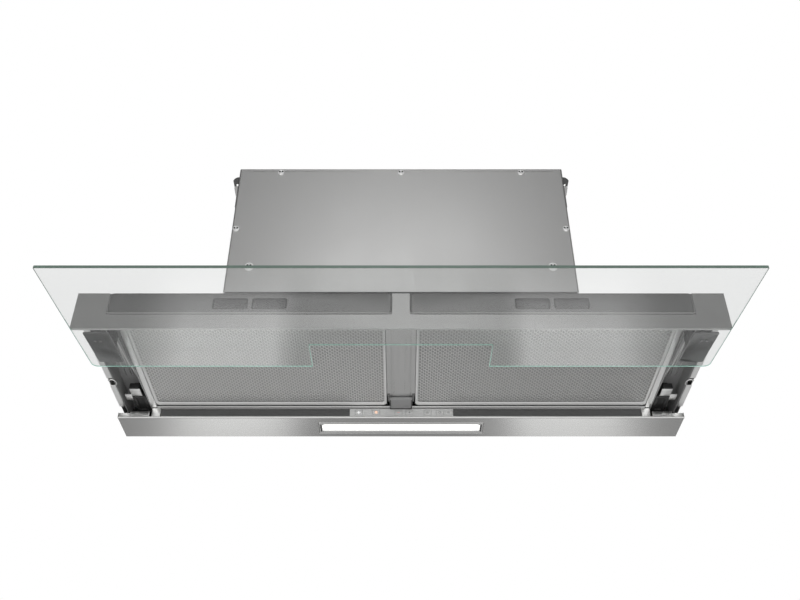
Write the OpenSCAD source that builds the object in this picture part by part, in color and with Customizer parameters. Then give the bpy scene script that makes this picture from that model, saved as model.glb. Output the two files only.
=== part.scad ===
// Pull-out range hood insert: slim body, glass screen on sloping guides, motor housing and exhaust collar.
// Origin: middle of the wall face, level with the light bar's underside. +X right, +Y to the wall, +Z up.

/* [Slim body] */
// Width of the slim body
body_w = 895; // [860:1:1195]
// Depth from the wall face to the front face
body_d = 322; // [316:1:350]
// Top of the slim body above the underside of the light bar
body_top_z = 49.3; // [49:0.1:60]
// Sheet thickness of the slim body
sheet_t = 1; // [0.8:0.1:1.2]
// Width of the air opening in the body's top
air_w = 400; // [300:1:420]
// Distance of the cabinet fixing holes, side to side
fixing_x = 640; // [600:1:700]
// Distance of the cabinet fixing holes, front to back
fixing_y = 200; // [120:1:220]
// Diameter of the cabinet fixing holes
fixing_d = 5.5; // [4:0.1:7]

/* [Front plate] */
// How far the front plate stands past the body on each side
plate_over = 0.5; // [0:0.1:2]
// Depth of the folded front plate
plate_t = 4; // [3.6:0.1:6]
// Lower edge of the front plate
plate_bottom_z = -10.6; // [-14:0.1:-8]
// Depth of the pressed fields
field_depth = 1.2; // [0.5:0.1:1.6]
// Inner end of a pressed field, from the middle
field_in_x = 12.3; // [8:0.1:30]
// Bare steel outside a pressed field
field_margin = 44; // [20:1:80]
// Lower edge of the pressed fields
field_z = 13.2; // [8:0.1:18]
// Corner radius of the pressed fields
field_r = 6; // [2:0.5:10]
// Width of a vent pocket
pocket_w = 48.7; // [30:0.1:60]
// Height of a vent pocket
pocket_h = 19; // [10:0.1:22]
// Corner radius of a vent pocket
pocket_r = 3.5; // [1:0.5:5]
// Inner end of the first vent pocket, from the middle
pocket_x = 157; // [100:1:180]
// Steel between the two vent pockets
pocket_gap = 5.3; // [3:0.1:10]

/* [Motor housing] */
// Width of the motor housing
housing_w = 494.3; // [460:0.1:540]
// Depth of the motor housing
housing_d = 280; // [272:1:290]
// Top of the motor housing's front cover
housing_top_z = 288.4; // [286:0.1:310]
// Sheet thickness of the motor housing
housing_t = 0.8; // [0.6:0.1:1]
// Depth of the front cover's folded lips
cover_lip = 12; // [8:0.5:18]
// Width of the housing's front flange
flange_w = 36; // [36:1:44]
// Distance of the outer top screws from the middle
top_screw_x = 184; // [150:1:200]
// Top screws below the cover's top edge
top_screw_drop = 7.6; // [7:0.1:10]
// Middle side screws in from the cover's edge
mid_screw_inset = 5.6; // [5.4:0.1:8]
// Height of the middle side screws
mid_screw_z = 166; // [140:1:190]
// Lower screws in from the cover's edge
low_screw_inset = 31.6; // [26:0.1:32]
// Height of the lower screws
low_screw_z = 98; // [80:1:120]

/* [Exhaust] */
// Bore of the duct that slides over the spigot
duct_d = 150; // [146:1:152]
// Height of the spigot above its base
spigot_h = 60; // [54:1:70]
// Wall of the spigot
spigot_t = 1.8; // [1.6:0.1:2.4]
// Distance of the spigot's axis from the wall face
spigot_back = 150; // [148:1:154]
// Height of the flap pin above the collar's base
flap_pin_h = 32; // [20:1:36]
// Thickness of a flap
flap_t = 1.2; // [1:0.1:1.4]
// Diameter of the flap pin
flap_pin_d = 3; // [2.8:0.1:3.4]

/* [Blower] */
// Radius of the fan wheel
fan_r = 78; // [74:1:80]
// Width of the fan wheel
fan_w = 116; // [110:1:122]
// Depth of a fan blade
blade_depth = 16; // [12:1:18]
// Thickness of a fan blade
blade_t = 1.4; // [1:0.1:2]
// Number of fan blades
blade_count = 32; // [20:1:40]
// Distance of the fan's axis from the wall face
fan_back = 200; // [198:1:204]
// Height of the fan's axis
fan_z = 165; // [163:1:168]
// Radius of the scroll at its tongue
scroll_r_min = 84; // [82:1:86]
// Radius of the scroll where it turns up into the outlet
scroll_r_max = 116; // [112:1:118]
// Wall of the scroll
scroll_t = 1.5; // [1.2:0.1:2]
// Radius of the air inlets
inlet_r = 60; // [56:1:61]
// Radius of the motor
motor_r = 42; // [36:1:44]
// Diameter of the motor shaft
shaft_d = 8; // [6:0.5:10]

/* [Screen] */
// Distance of the glass's side edges in from the body's sides
glass_in = 1.5; // [0.5:0.1:8]
// Depth of the glass screen, measured along its slope
glass_d = 263.5; // [250:0.5:270]
// Thickness of the glass
glass_t = 4; // [3:0.1:4.2]
// Slope of the screen and its guides, in degrees
screen_tilt = 6.24; // [5.9:0.01:6.5]
// Depth of the glass that stays under the body when the screen is pulled out
screen_hold = 109.1; // [106:0.1:120]
// Travel of the screen along its guides
screen_travel = 130; // [110:1:132]
// Half width of the notch in the glass
notch_x = 128; // [110:1:150]
// Depth of the notch in the glass
notch_d = 65.5; // [50:0.5:80]
// Corner radius at the back of the glass
glass_r = 9; // [4:0.5:12]
// Corner radius at the front of the glass
glass_front_r = 2; // [1:0.5:4]

/* [Side channels] */
// Width of a channel's outer lip
outer_lip = 8.5; // [6:0.1:9]
// Lower edge of the outer wall
outer_z = 19.8; // [19.6:0.1:22]
// Distance of a channel's inner wall from the body's side
channel_w = 52; // [51:0.1:56]
// Width of a channel's inner lip beside the filter
inner_lip = 9.1; // [7:0.1:10]
// Wall of the dark channel liner
liner_t = 1.2; // [1:0.1:1.4]
// Width of a screen carrier plate
carrier_w = 35; // [30:0.5:35]
// Length of a screen carrier plate
carrier_l = 85.6; // [80:0.1:90]
// Thickness of a screen carrier plate
carrier_t = 2.5; // [2:0.1:3]
// Length of a slider
slider_l = 48; // [40:1:50]
// Front edge of a slider's foot behind the carrier's front edge
slider_set = 7; // [5:0.5:12]
// Length of a soft-close damper
damper_l = 46; // [40:1:48]

/* [Filters] */
// Underside of the filters above the underside of the light bar
filter_z = 18.5; // [18.2:0.1:19.4]
// Thickness of a filter
filter_t = 9; // [8:0.5:10]
// Half of the space between the two filters
filter_in_x = 22.3; // [22:0.1:25]
// Width of a filter's side rim
rim_side = 3; // [2.5:0.1:6]
// Width of a filter's front and back rim
rim_end = 8; // [6:0.1:12]
// Sheet of the filter mesh
mesh_t = 0.8; // [0.6:0.1:1]
// Rows of openings in the modelled mesh, side to side
mesh_cols = 22; // [10:1:26]
// Rows of openings in the modelled mesh, front to back
mesh_rows = 10; // [6:1:12]
// Half width of the bridge between the filters
bridge_x = 21.7; // [20:0.1:21.9]
// Half width of the filter catch
catch_x = 17.3; // [15:0.1:17.5]
// Length of the filter catch
catch_l = 30; // [26:0.5:32]

/* [Light bar] */
// Depth of the light bar
bar_d = 61.6; // [60:0.1:66]
// Height of the light bar's bright front lip
bar_lip_h = 2.2; // [1.5:0.1:3]
// Light bar left bare outside the dark trim strip
trim_margin = 66.5; // [63.5:0.5:88]
// Length of the light's lens
lens_w = 252; // [200:1:300]
// Width of the light's lens
lens_d = 22.5; // [18:0.5:24]
// Distance of the lens's middle from the wall face
lens_back = 27.7; // [26:0.1:30]
// Rim of the lens frame
lens_rim = 5; // [3:0.5:6]
// Height of an end cap of the light bar
end_cap_h = 9; // [6:0.5:12]

/* [Controls] */
// Left end of the control fascia, from the middle
fascia_left = 81; // [76:1:90]
// Right end of the control fascia, from the middle
fascia_right = 82.5; // [82.3:0.1:92]
// Lower edge of the control fascia
fascia_z = 2.7; // [2.5:0.1:3]
// Height of the control fascia
fascia_h = 13; // [12:0.1:13.4]
// Thickness of the control fascia
fascia_t = 1.6; // [1.2:0.1:1.8]
// Width of a key
key_w = 11; // [9:0.1:11.2]
// Height of a key
key_h = 8; // [6:0.1:8.4]
// Travel of a key
key_travel = 0.8; // [0.5:0.1:1]

/* [Fits] */
// Gap between pieces that are seated on each other
seat_gap = 0.2; // [0.1:0.05:0.3]
// Gap between a moving piece and its neighbour
move_gap = 0.4; // [0.3:0.05:0.5]
// Radial clearance of a turning pin
pin_fit = 0.05; // [0.03:0.01:0.08]
// Radial clearance of a screw in its hole
screw_fit = 0.3; // [0.2:0.05:0.4]
// Gap between the glass and the front plate above it
glass_gap = 0.45; // [0.4:0.05:0.8]

/* [Hidden] */
$fn = 48;

// overrun of every cut past the face it opens
cut = 1;
// extra sides of the largest rounds
fine_fn = 96;

// places that several pieces share
body_x = body_w / 2;
front_y = -body_d;
trim_x = body_x - trim_margin;
glass_w = body_w - 2 * glass_in;
plate_back_y = front_y + plate_t;
roof_z = body_top_z - sheet_t;

// driving lines of the sloping screen
screen_reach = glass_d * cos(screen_tilt) - screen_hold;
screen_front_y = front_y - screen_reach;
screen_front_z = plate_bottom_z - glass_gap - (plate_t + screen_reach) * tan(screen_tilt)
    - glass_t / cos(screen_tilt);

// a box given by its lowest and highest corners
module block(lo, hi) {
    translate(lo)
        cube(hi - lo);
}

// the right-hand piece as it is, or its mirror image for the left
module on_side(left) {
    mirror([left ? 1 : 0, 0, 0])
        children();
}

module both_sides() {
    on_side(false)
        children();
    on_side(true)
        children();
}

// local Y runs up the guides and local Z stands square on the glass
module on_slope() {
    translate([0, screen_front_y, screen_front_z])
        rotate([screen_tilt, 0, 0])
            children();
}

// a cylinder lying along X from x0 to x1
module bar_x(x0, x1, r) {
    translate([x0, 0, 0])
        rotate([0, 90, 0])
            cylinder(h = x1 - x0, r = r);
}

// a cylinder lying along Y from y0 to y1
module bar_y(y0, y1, r) {
    translate([0, y0, 0])
        rotate([-90, 0, 0])
            cylinder(h = y1 - y0, r = r);
}

// an outline drawn in Y and Z, drawn out along X from x0 to x1
module side_shape(x0, x1) {
    translate([x0, 0, 0])
        rotate([90, 0, 90])
            linear_extrude(height = x1 - x0)
                children();
}

// an outline drawn in X and Z, drawn out along Y from y0 to y1
module front_shape(y0, y1) {
    translate([0, y1, 0])
        rotate([90, 0, 0])
            linear_extrude(height = y1 - y0)
                children();
}

function arc(middle, r, from, to, steps) =
    [for (i = [0:steps])
        let (a = from + (to - from) * i / steps)
            middle + r * [cos(a), sin(a)]];

arc_steps = 5;

// a rectangle with rounded corners of radius r at its low side and top_r at its high side
function rounded(lo, hi, r, top_r) = concat(
    arc([hi[0] - top_r, hi[1] - top_r], top_r, 0, 90, arc_steps),
    arc([lo[0] + top_r, hi[1] - top_r], top_r, 90, 180, arc_steps),
    arc([lo[0] + r, lo[1] + r], r, 180, 270, arc_steps),
    arc([hi[0] - r, lo[1] + r], r, 270, 360, arc_steps)
);

// Housing
shell_x = housing_w / 2 - housing_t - seat_gap;
shell_front_y = front_y + housing_t + seat_gap;
shell_back_y = front_y + housing_d;
shell_top_z = housing_top_z - housing_t - seat_gap;
shell_bottom_z = body_top_z + seat_gap;
shell_foot = 14;
spigot_y = -spigot_back;
spigot_slack = 0.5;
spigot_r = duct_d / 2 - spigot_slack;
spigot_bore = spigot_r - spigot_t;
screw_r = 2;
screw_head_r = 4;
screw_head_h = 2.2;
screw_length = 6;
washer_r = 6.2;
washer_h = 0.6;
cover_screw_places = [
    [-top_screw_x, housing_top_z - top_screw_drop],
    [0, housing_top_z - top_screw_drop],
    [top_screw_x, housing_top_z - top_screw_drop],
    [-(housing_w / 2 - mid_screw_inset), mid_screw_z],
    [housing_w / 2 - mid_screw_inset, mid_screw_z],
    [-(housing_w / 2 - low_screw_inset), low_screw_z],
    [housing_w / 2 - low_screw_inset, low_screw_z]
];
low_screws = [5, 6];

module cover_screw_holes() {
    for (p = cover_screw_places)
        translate([p[0], 0, p[1]])
            bar_y(front_y - cut, shell_front_y + flange_w, screw_r + screw_fit);
}

// the housing's two sides, back and roof are panels that the frames hold together
panel_front_y = shell_front_y + housing_t + seat_gap;
panel_low_z = shell_bottom_z + housing_t + seat_gap;
panel_in_x = shell_x - housing_t;
roof_low_z = shell_top_z - housing_t;

module housing_shell() {
    color("#9b9b99") {
        both_sides()
            block([panel_in_x, panel_front_y, panel_low_z], [shell_x, shell_back_y, roof_low_z - seat_gap]);
        block(
            [-panel_in_x + seat_gap, shell_back_y - housing_t, panel_low_z],
            [panel_in_x - seat_gap, shell_back_y, roof_low_z - seat_gap]
        );
        difference() {
            block([-shell_x, panel_front_y, roof_low_z], [shell_x, shell_back_y, shell_top_z]);
            translate([0, spigot_y, roof_low_z - cut])
                cylinder(h = housing_t + 2 * cut, r = spigot_bore, $fn = fine_fn);
            collar_screw_places()
                translate([0, 0, roof_low_z - cut])
                    cylinder(h = housing_t + 2 * cut, r = screw_r + screw_fit);
        }
    }
}

// a flat frame at the housing's front, on which the cover is screwed, and one at its foot
module housing_frames() {
    color("#9b9b99") {
        difference() {
            block(
                [-shell_x, shell_front_y, shell_bottom_z],
                [shell_x, shell_front_y + housing_t, shell_top_z]
            );
            block(
                [-shell_x + flange_w, shell_front_y - cut, shell_bottom_z + shell_foot],
                [shell_x - flange_w, shell_front_y + housing_t + cut, shell_top_z - shell_foot]
            );
            intersection() {
                cover_screw_holes();
                block(
                    [-shell_x, shell_front_y - cut, shell_bottom_z],
                    [shell_x, shell_front_y + housing_t + cut, shell_top_z]
                );
            }
        }
        difference() {
            block(
                [-shell_x, panel_front_y, shell_bottom_z],
                [shell_x, shell_back_y, shell_bottom_z + housing_t]
            );
            block(
                [-shell_x + shell_foot, shell_front_y + shell_foot, shell_bottom_z - cut],
                [shell_x - shell_foot, shell_back_y - shell_foot, shell_bottom_z + housing_t + cut]
            );
        }
    }
}

module housing_cover() {
    color("#b4b4b1")
        difference() {
            block(
                [-housing_w / 2, front_y, shell_bottom_z],
                [housing_w / 2, front_y + cover_lip, housing_top_z]
            );
            block(
                [-housing_w / 2 + housing_t, front_y + housing_t, shell_bottom_z - cut],
                [housing_w / 2 - housing_t, front_y + cover_lip + cut, housing_top_z - housing_t]
            );
            intersection() {
                cover_screw_holes();
                block(
                    [-housing_w / 2, front_y - cut, shell_bottom_z],
                    [housing_w / 2, front_y + housing_t + cut, housing_top_z]
                );
            }
        }
}

module pan_screw(head_side_y, washer) {
    bar_y(head_side_y, head_side_y + screw_length, screw_r);
    bar_y(head_side_y - screw_head_h, head_side_y, screw_head_r);
    if (washer)
        difference() {
            bar_y(head_side_y - washer_h, head_side_y, washer_r);
            bar_y(head_side_y - washer_h - cut, head_side_y + cut, screw_r + seat_gap);
        }
}

module cover_screws() {
    color("#d8d8d6")
        for (i = [0:len(cover_screw_places) - 1])
            translate([cover_screw_places[i][0], 0, cover_screw_places[i][1]])
                pan_screw(front_y, len(search(i, low_screws)) > 0);
}

// Exhaust collar with its two backdraught flaps
collar_base_z = shell_top_z + seat_gap;
collar_flange_w = 20;
collar_base_r = duct_d / 2 + collar_flange_w;
collar_base_t = 2;
collar_screw_out = 11;
collar_screw_ring = duct_d / 2 + collar_screw_out;
collar_screw_count = 4;
flap_z = collar_base_z + flap_pin_h;
stop_w = 6;
stop_h = 2;
knuckle_share = 1.7;
knuckle_r = flap_pin_d / 2 + knuckle_share * flap_t;
flap_r = spigot_bore - 2 * move_gap;
knuckle_count = 10;
knuckle_l = 2 * flap_r / (knuckle_count + 2);

module collar_screw_places() {
    for (i = [0:collar_screw_count - 1])
        translate([0, spigot_y, 0])
            rotate([0, 0, 360 / collar_screw_count * (i + 0.5)])
                translate([collar_screw_ring, 0, 0])
                    children();
}

module exhaust_collar() {
    color("#3c3c3c")
        difference() {
            translate([0, spigot_y, collar_base_z])
                rotate_extrude($fn = fine_fn)
                    polygon([
                        [spigot_bore, 0], [collar_base_r, 0], [collar_base_r, collar_base_t],
                        [spigot_r, collar_base_t], [spigot_r, spigot_h], [spigot_bore, spigot_h],
                        [spigot_bore, flap_pin_h - flap_t / 2 - move_gap],
                        [spigot_bore - stop_w, flap_pin_h - flap_t / 2 - move_gap],
                        [spigot_bore - stop_w, flap_pin_h - flap_t / 2 - move_gap - stop_h],
                        [spigot_bore, flap_pin_h - flap_t / 2 - move_gap - stop_h]
                    ]);
            translate([0, 0, flap_z])
                bar_y(spigot_y - spigot_r - cut, spigot_y + spigot_r + cut, flap_pin_d / 2 + pin_fit);
            collar_screw_places()
                translate([0, 0, collar_base_z - cut])
                    cylinder(h = collar_base_t + 2 * cut, r = screw_r + screw_fit);
        }
}

module collar_screws() {
    color("#c8c8c6")
        collar_screw_places() {
            translate([0, 0, collar_base_z + collar_base_t - screw_length / 2])
                cylinder(h = screw_length / 2, r = screw_r);
            translate([0, 0, collar_base_z + collar_base_t])
                cylinder(h = screw_head_h, r = screw_head_r);
        }
}

// one flap lies to +X of the pin; its knuckles are the even or the odd ones of ten
module flap(first) {
    lane = knuckle_r + move_gap;
    translate([0, spigot_y, flap_z])
        difference() {
            union() {
                intersection() {
                    translate([0, 0, -flap_t / 2])
                        cylinder(h = flap_t, r = flap_r, $fn = fine_fn);
                    block([lane, -flap_r, -flap_t], [flap_r, flap_r, flap_t]);
                }
                for (i = [first:2:knuckle_count - 1]) {
                    y0 = (i - knuckle_count / 2) * knuckle_l + move_gap / 2;
                    bar_y(y0, y0 + knuckle_l - move_gap, knuckle_r);
                    block(
                        [0, y0, -flap_t / 2],
                        [lane + flap_t, y0 + knuckle_l - move_gap, flap_t / 2]
                    );
                }
            }
            bar_y(-flap_r, flap_r, flap_pin_d / 2 + pin_fit);
        }
}

module flap_right() {
    color("#4a4a4a")
        flap(0);
}

module flap_left() {
    color("#4a4a4a")
        translate([0, 2 * spigot_y, 0])
            rotate([0, 0, 180])
                flap(0);
}

module flap_pin() {
    color("#c0c0c0")
        translate([0, 0, flap_z])
            bar_y(spigot_y - spigot_r + spigot_t / 4, spigot_y + spigot_r - spigot_t / 4, flap_pin_d / 2);
}

// Blower: a scroll with an inlet on each side, the fan wheel on the motor's shaft
fan_y = -fan_back;
fan_x = fan_w / 2;
fan_side_gap = 6;
scroll_x = fan_x + fan_side_gap;
scroll_steps = 30;
tongue_angle = 80;
scroll_turn = 280;
scroll_top_z = shell_top_z - housing_t - seat_gap;
bracket_gap = 10;
bracket_x = scroll_x + scroll_t + bracket_gap;
bracket_t = 3;
bracket_over = 24;
bracket_r = inlet_r + bracket_over;
mount_over = 17;
mount_ring = inlet_r + mount_over;
mount_r = 6;
mount_count = 3;
motor_front_x = 8;
motor_nose_r = 12;
motor_nose_x = 4;
hub_r = 14;
blade_lean = 25;
hub_x = 10;
disc_t = 3;
ring_t = 3;

function scroll_outline(extra, top) = concat(
    [for (i = [0:scroll_steps])
        [fan_y, fan_z] + scroll_radius(i, extra) * [cos(scroll_angle(i)), sin(scroll_angle(i))]],
    [[fan_y + scroll_r_max + extra, top]],
    [[fan_y + scroll_r_min * cos(tongue_angle) - extra, top]]
);
function scroll_angle(i) = tongue_angle + scroll_turn * i / scroll_steps;
function scroll_radius(i, extra) = scroll_r_min + (scroll_r_max - scroll_r_min) * i / scroll_steps + extra;

module blower_scroll() {
    color("#6d7072")
        difference() {
            side_shape(-scroll_x - scroll_t, scroll_x + scroll_t)
                polygon(scroll_outline(scroll_t, scroll_top_z));
            side_shape(-scroll_x, scroll_x)
                polygon(scroll_outline(0, scroll_top_z + cut));
            translate([0, fan_y, fan_z])
                bar_x(-scroll_x - scroll_t - cut, scroll_x + scroll_t + cut, inlet_r + scroll_t);
        }
}

module inlet_rings() {
    color("#303234")
        translate([0, fan_y, fan_z])
            for (s = [0, 1])
                mirror([s, 0, 0])
                    translate([scroll_x, 0, 0])
                        rotate([0, 90, 0])
                            rotate_extrude()
                                polygon([
                                    [inlet_r - scroll_t, 0], [inlet_r + scroll_t - seat_gap, 0],
                                    [inlet_r + scroll_t - seat_gap, scroll_t + seat_gap],
                                    [inlet_r + 4 * scroll_t, scroll_t + seat_gap],
                                    [inlet_r + 4 * scroll_t, 2 * scroll_t],
                                    [inlet_r, 2 * scroll_t], [inlet_r - scroll_t, scroll_t]
                                ]);
}

module impeller() {
    color("#8d9092")
        translate([0, fan_y, fan_z])
            difference() {
                union() {
                    bar_x(-disc_t / 2, disc_t / 2, fan_r - blade_depth / 2);
                    bar_x(-hub_x, motor_nose_x - move_gap, hub_r);
                    for (x = [-fan_x, fan_x - ring_t])
                        difference() {
                            bar_x(x, x + ring_t, fan_r);
                            bar_x(x - cut, x + ring_t + cut, fan_r - blade_depth);
                        }
                    for (i = [0:blade_count - 1])
                        rotate([360 / blade_count * i, 0, 0])
                            translate([0, fan_r - blade_depth / 2, 0])
                                rotate([blade_lean, 0, 0])
                                    block(
                                        [-fan_x + ring_t / 2, -blade_depth / 2 + blade_t, -blade_t / 2],
                                        [fan_x - ring_t / 2, blade_depth / 2 - blade_t, blade_t / 2]
                                    );
                }
                bar_x(-fan_x, fan_x, shaft_d / 2 + pin_fit);
            }
}

module motor_shaft() {
    color("#c9c9c9")
        translate([0, fan_y, fan_z])
            bar_x(-hub_x, bracket_x - motor_nose_r, shaft_d / 2);
}

module motor() {
    color("#5a5f66")
        translate([0, fan_y, fan_z])
            difference() {
                union() {
                    bar_x(motor_front_x, bracket_x, motor_r);
                    bar_x(motor_nose_x, motor_front_x, motor_nose_r);
                }
                bar_x(motor_nose_x - cut, bracket_x - motor_nose_r + cut, shaft_d / 2 + pin_fit);
            }
}

module motor_bracket() {
    arm_w = 14;
    color("#8f9294")
        translate([0, fan_y, fan_z]) {
            bar_x(bracket_x, bracket_x + bracket_t, motor_r);
            difference() {
                bar_x(bracket_x, bracket_x + bracket_t, bracket_r);
                bar_x(bracket_x - cut, bracket_x + bracket_t + cut, bracket_r - arm_w);
            }
            for (i = [0:mount_count - 1])
                rotate([360 / mount_count * i, 0, 0])
                    block(
                        [bracket_x, motor_r - arm_w, -arm_w / 2],
                        [bracket_x + bracket_t, bracket_r - arm_w / 2, arm_w / 2]
                    );
        }
}

module rubber_mounts() {
    color("#222222")
        translate([0, fan_y, fan_z])
            for (i = [0:mount_count - 1])
                rotate([360 / mount_count * i, 0, 0])
                    translate([0, mount_ring, 0])
                        bar_x(scroll_x + scroll_t + seat_gap, bracket_x - seat_gap, mount_r);
}

// Electrical pieces
cap_r = 17.5;
cap_h = 62;
cap_x = 150;
cap_up = 60;
cap_z = body_top_z + cap_up;
cap_wall = 1.2;
cap_clip_h = 14;
box_w = 96;
box_d = 62;
box_h = 34;
box_t = 2;
box_gap = 2.2;
box_x = collar_base_r + box_gap;
box_back = 52;
box_z = shell_top_z + seat_gap;
lid_t = 2;
gland_r = 9;
gland_bore = 5;
gland_l = 22;

module capacitor() {
    color("#d9d9d4")
        translate([cap_x, shell_back_y - housing_t - seat_gap - cap_wall - cap_r, cap_z]) {
            cylinder(h = cap_h, r = cap_r);
            translate([0, 0, cap_clip_h])
                cylinder(h = cap_clip_h, r = cap_r + cap_wall);
            block([-cap_r, cap_r - cap_wall, cap_clip_h], [cap_r, cap_r + cap_wall, 2 * cap_clip_h]);
            translate([0, 0, cap_h])
                cylinder(h = cap_wall * 3, r = cap_r / 3);
        }
}

module terminal_box() {
    color("#2f3133")
        difference() {
            block([box_x, -box_back - box_d, box_z], [box_x + box_w, -box_back, box_z + box_h]);
            block(
                [box_x + box_t, -box_back - box_d + box_t, box_z + box_t],
                [box_x + box_w - box_t, -box_back - box_t, box_z + box_h + cut]
            );
            translate([box_x + box_w / 2, 0, box_z + box_h / 2])
                bar_y(-box_back - 2 * box_t, -box_back + cut, gland_r - box_t);
        }
}

module terminal_lid() {
    color("#3a3c3e") {
        block(
            [box_x, -box_back - box_d, box_z + box_h + seat_gap],
            [box_x + box_w, -box_back, box_z + box_h + seat_gap + lid_t]
        );
        block(
            [box_x + box_t + seat_gap, -box_back - box_d + box_t + seat_gap, box_z + box_h - lid_t],
            [box_x + box_w - box_t - seat_gap, -box_back - box_t - seat_gap, box_z + box_h + seat_gap]
        );
    }
}

module cable_gland() {
    color("#1e1e1e")
        translate([box_x + box_w / 2, 0, box_z + box_h / 2])
            difference() {
                union() {
                    bar_y(-box_back - box_t, -box_back + seat_gap, gland_r - box_t - seat_gap);
                    bar_y(-box_back + seat_gap, -box_back + gland_l, gland_r);
                }
                bar_y(-box_back - box_t - cut, -box_back + gland_l + cut, gland_bore);
            }
}

// Clips at the housing's upper front corners, by which it is hung while it is fixed
clip_t = 1.6;
clip_front = 3;
clip_d = 22;
clip_top_drop = 17.5;
clip_low_drop = 76;
clip_screw_drop = 36.4;
clip_top_z = housing_top_z - clip_top_drop;
clip_low_z = housing_top_z - clip_low_drop;
clip_lug = 7;
clip_lug_h = 7;
clip_screw_z = housing_top_z - clip_screw_drop;

module hanging_clip() {
    y0 = front_y + clip_front;
    x0 = housing_w / 2 + seat_gap;
    block([x0, y0, clip_low_z], [x0 + clip_t, y0 + clip_d, clip_top_z]);
    translate([x0 + clip_lug - clip_lug_h / 2, 0, clip_top_z - clip_lug_h / 2])
        bar_y(y0, y0 + clip_d, clip_lug_h / 2);
    block(
        [x0, y0, clip_top_z - clip_lug_h],
        [x0 + clip_lug - clip_lug_h / 2, y0 + clip_d, clip_top_z]
    );
    translate([x0 + clip_t, y0 + clip_d / 2, clip_screw_z])
        bar_x(0, screw_head_h, screw_head_r);
    front_shape(y0 + clip_d - clip_t, y0 + clip_d)
        polygon([
            [x0 + clip_t, clip_low_z], [x0 + clip_lug, clip_low_z + 3 * clip_lug],
            [x0 + clip_t, clip_low_z + 3 * clip_lug]
        ]);
}

module hanging_clip_left() {
    color("#5c5c5c")
        on_side(true)
            hanging_clip();
}

module hanging_clip_right() {
    color("#5c5c5c")
        on_side(false)
            hanging_clip();
}

// Slim body
top_front_y = plate_back_y + seat_gap;
air_front_y = shell_front_y + shell_foot;
air_back_y = shell_back_y - shell_foot;
bar_back_drop = 4;
bar_back_h = filter_z - bar_back_drop;
wall_low_z = bar_back_h + seat_gap;

module chassis_top() {
    color("#a8a8a6")
        difference() {
            block([-body_x, top_front_y, roof_z], [body_x, 0, body_top_z]);
            block([-air_w / 2, air_front_y, roof_z - cut], [air_w / 2, air_back_y, body_top_z + cut]);
            for (x = [-fixing_x / 2, fixing_x / 2], y = [-fixing_y / 2, fixing_y / 2])
                translate([x, front_y / 2 + y, roof_z - cut])
                    cylinder(h = sheet_t + 2 * cut, r = fixing_d / 2);
        }
}

module rear_wall() {
    color("#a8a8a6")
        block([-body_x, -sheet_t, wall_low_z], [body_x, 0, roof_z - seat_gap]);
}

// the folded front plate, its pressed fields and the vent pockets in them
ledge_d = 6;
ledge_z = filter_z + filter_t / 2;
pocket_depth = plate_t - field_depth;
pocket_up = 8.9;
pocket_z = field_z + pocket_up;

module front_plate() {
    field_out_x = body_x - field_margin;
    color("#a3a3a1") {
        difference() {
            block(
                [-body_x - plate_over, front_y, plate_bottom_z],
                [body_x + plate_over, plate_back_y, body_top_z]
            );
            both_sides() {
                front_shape(front_y - cut, front_y + field_depth)
                    polygon(rounded(
                        [field_in_x, field_z], [field_out_x, body_top_z + field_r + cut], field_r, field_r
                    ));
                for (i = [0, 1])
                    front_shape(front_y, front_y + pocket_depth)
                        translate([pocket_x + i * (pocket_w + pocket_gap), pocket_z])
                            polygon(rounded([0, 0], [pocket_w, pocket_h], pocket_r, pocket_r));
            }
        }
        both_sides()
            block(
                [filter_in_x + rim_side, plate_back_y - cut / 2, ledge_z - sheet_t],
                [lip_x - rim_side, plate_back_y + ledge_d, ledge_z]
            );
    }
}

// Side channels: an inverted U with an outer and an inner lip
wall_x = body_x - channel_w;
lip_x = wall_x - inner_lip + sheet_t;
channel_top_z = roof_z - seat_gap;
channel_back_y = -sheet_t - seat_gap;
step_front_y = -145;
step_back_y = -124;
step_h = 8;
rear_rise = 4;

module side_channel() {
    y0 = top_front_y;
    y1 = channel_back_y;
    difference() {
        union() {
            block([wall_x, y0, channel_top_z - sheet_t], [body_x, y1, channel_top_z]);
            block([body_x - sheet_t, y0, outer_z], [body_x, y1, channel_top_z]);
            block([body_x - outer_lip, y0, outer_z], [body_x, y1, outer_z + sheet_t]);
            block([wall_x, y0, filter_z], [wall_x + sheet_t, y1, channel_top_z]);
            block([lip_x, y0, filter_z], [wall_x + sheet_t, y1, filter_z + sheet_t]);
        }
        block(
            [body_x - outer_lip - cut, step_front_y, outer_z - cut],
            [body_x + cut, step_back_y, outer_z + step_h]
        );
        block(
            [body_x - outer_lip - cut, -bar_d, outer_z - cut],
            [body_x + cut, y1 + cut, outer_z + rear_rise]
        );
    }
    block(
        [body_x - 2 * sheet_t, step_front_y + sheet_t, outer_z],
        [body_x - sheet_t, step_back_y - sheet_t, outer_z + step_h + sheet_t]
    );
}

module side_channel_left() {
    color("#b9b9b7")
        on_side(true)
            side_channel();
}

module side_channel_right() {
    color("#b9b9b7")
        on_side(false)
            side_channel();
}

liner_in_x = wall_x + sheet_t + seat_gap;
liner_out_x = body_x - outer_lip;
liner_front_y = top_front_y + seat_gap;
liner_back_y = -20;
liner_top_z = channel_top_z - sheet_t - seat_gap;
liner_up = 1.5;
liner_low_z = filter_z + sheet_t + liner_up;
liner_nose_z = filter_z / 2;

module channel_liners() {
    color("#3d3d3d")
        both_sides() {
            block(
                [liner_in_x, liner_front_y, liner_top_z - liner_t],
                [liner_out_x, liner_back_y, liner_top_z]
            );
            block(
                [liner_out_x - liner_t, liner_front_y, liner_low_z],
                [liner_out_x, liner_back_y, liner_top_z]
            );
            side_shape(liner_in_x, liner_in_x + liner_t)
                polygon([
                    [liner_front_y, liner_nose_z], [liner_back_y, liner_low_z],
                    [liner_back_y, liner_top_z], [liner_front_y, liner_top_z]
                ]);
        }
}

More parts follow.
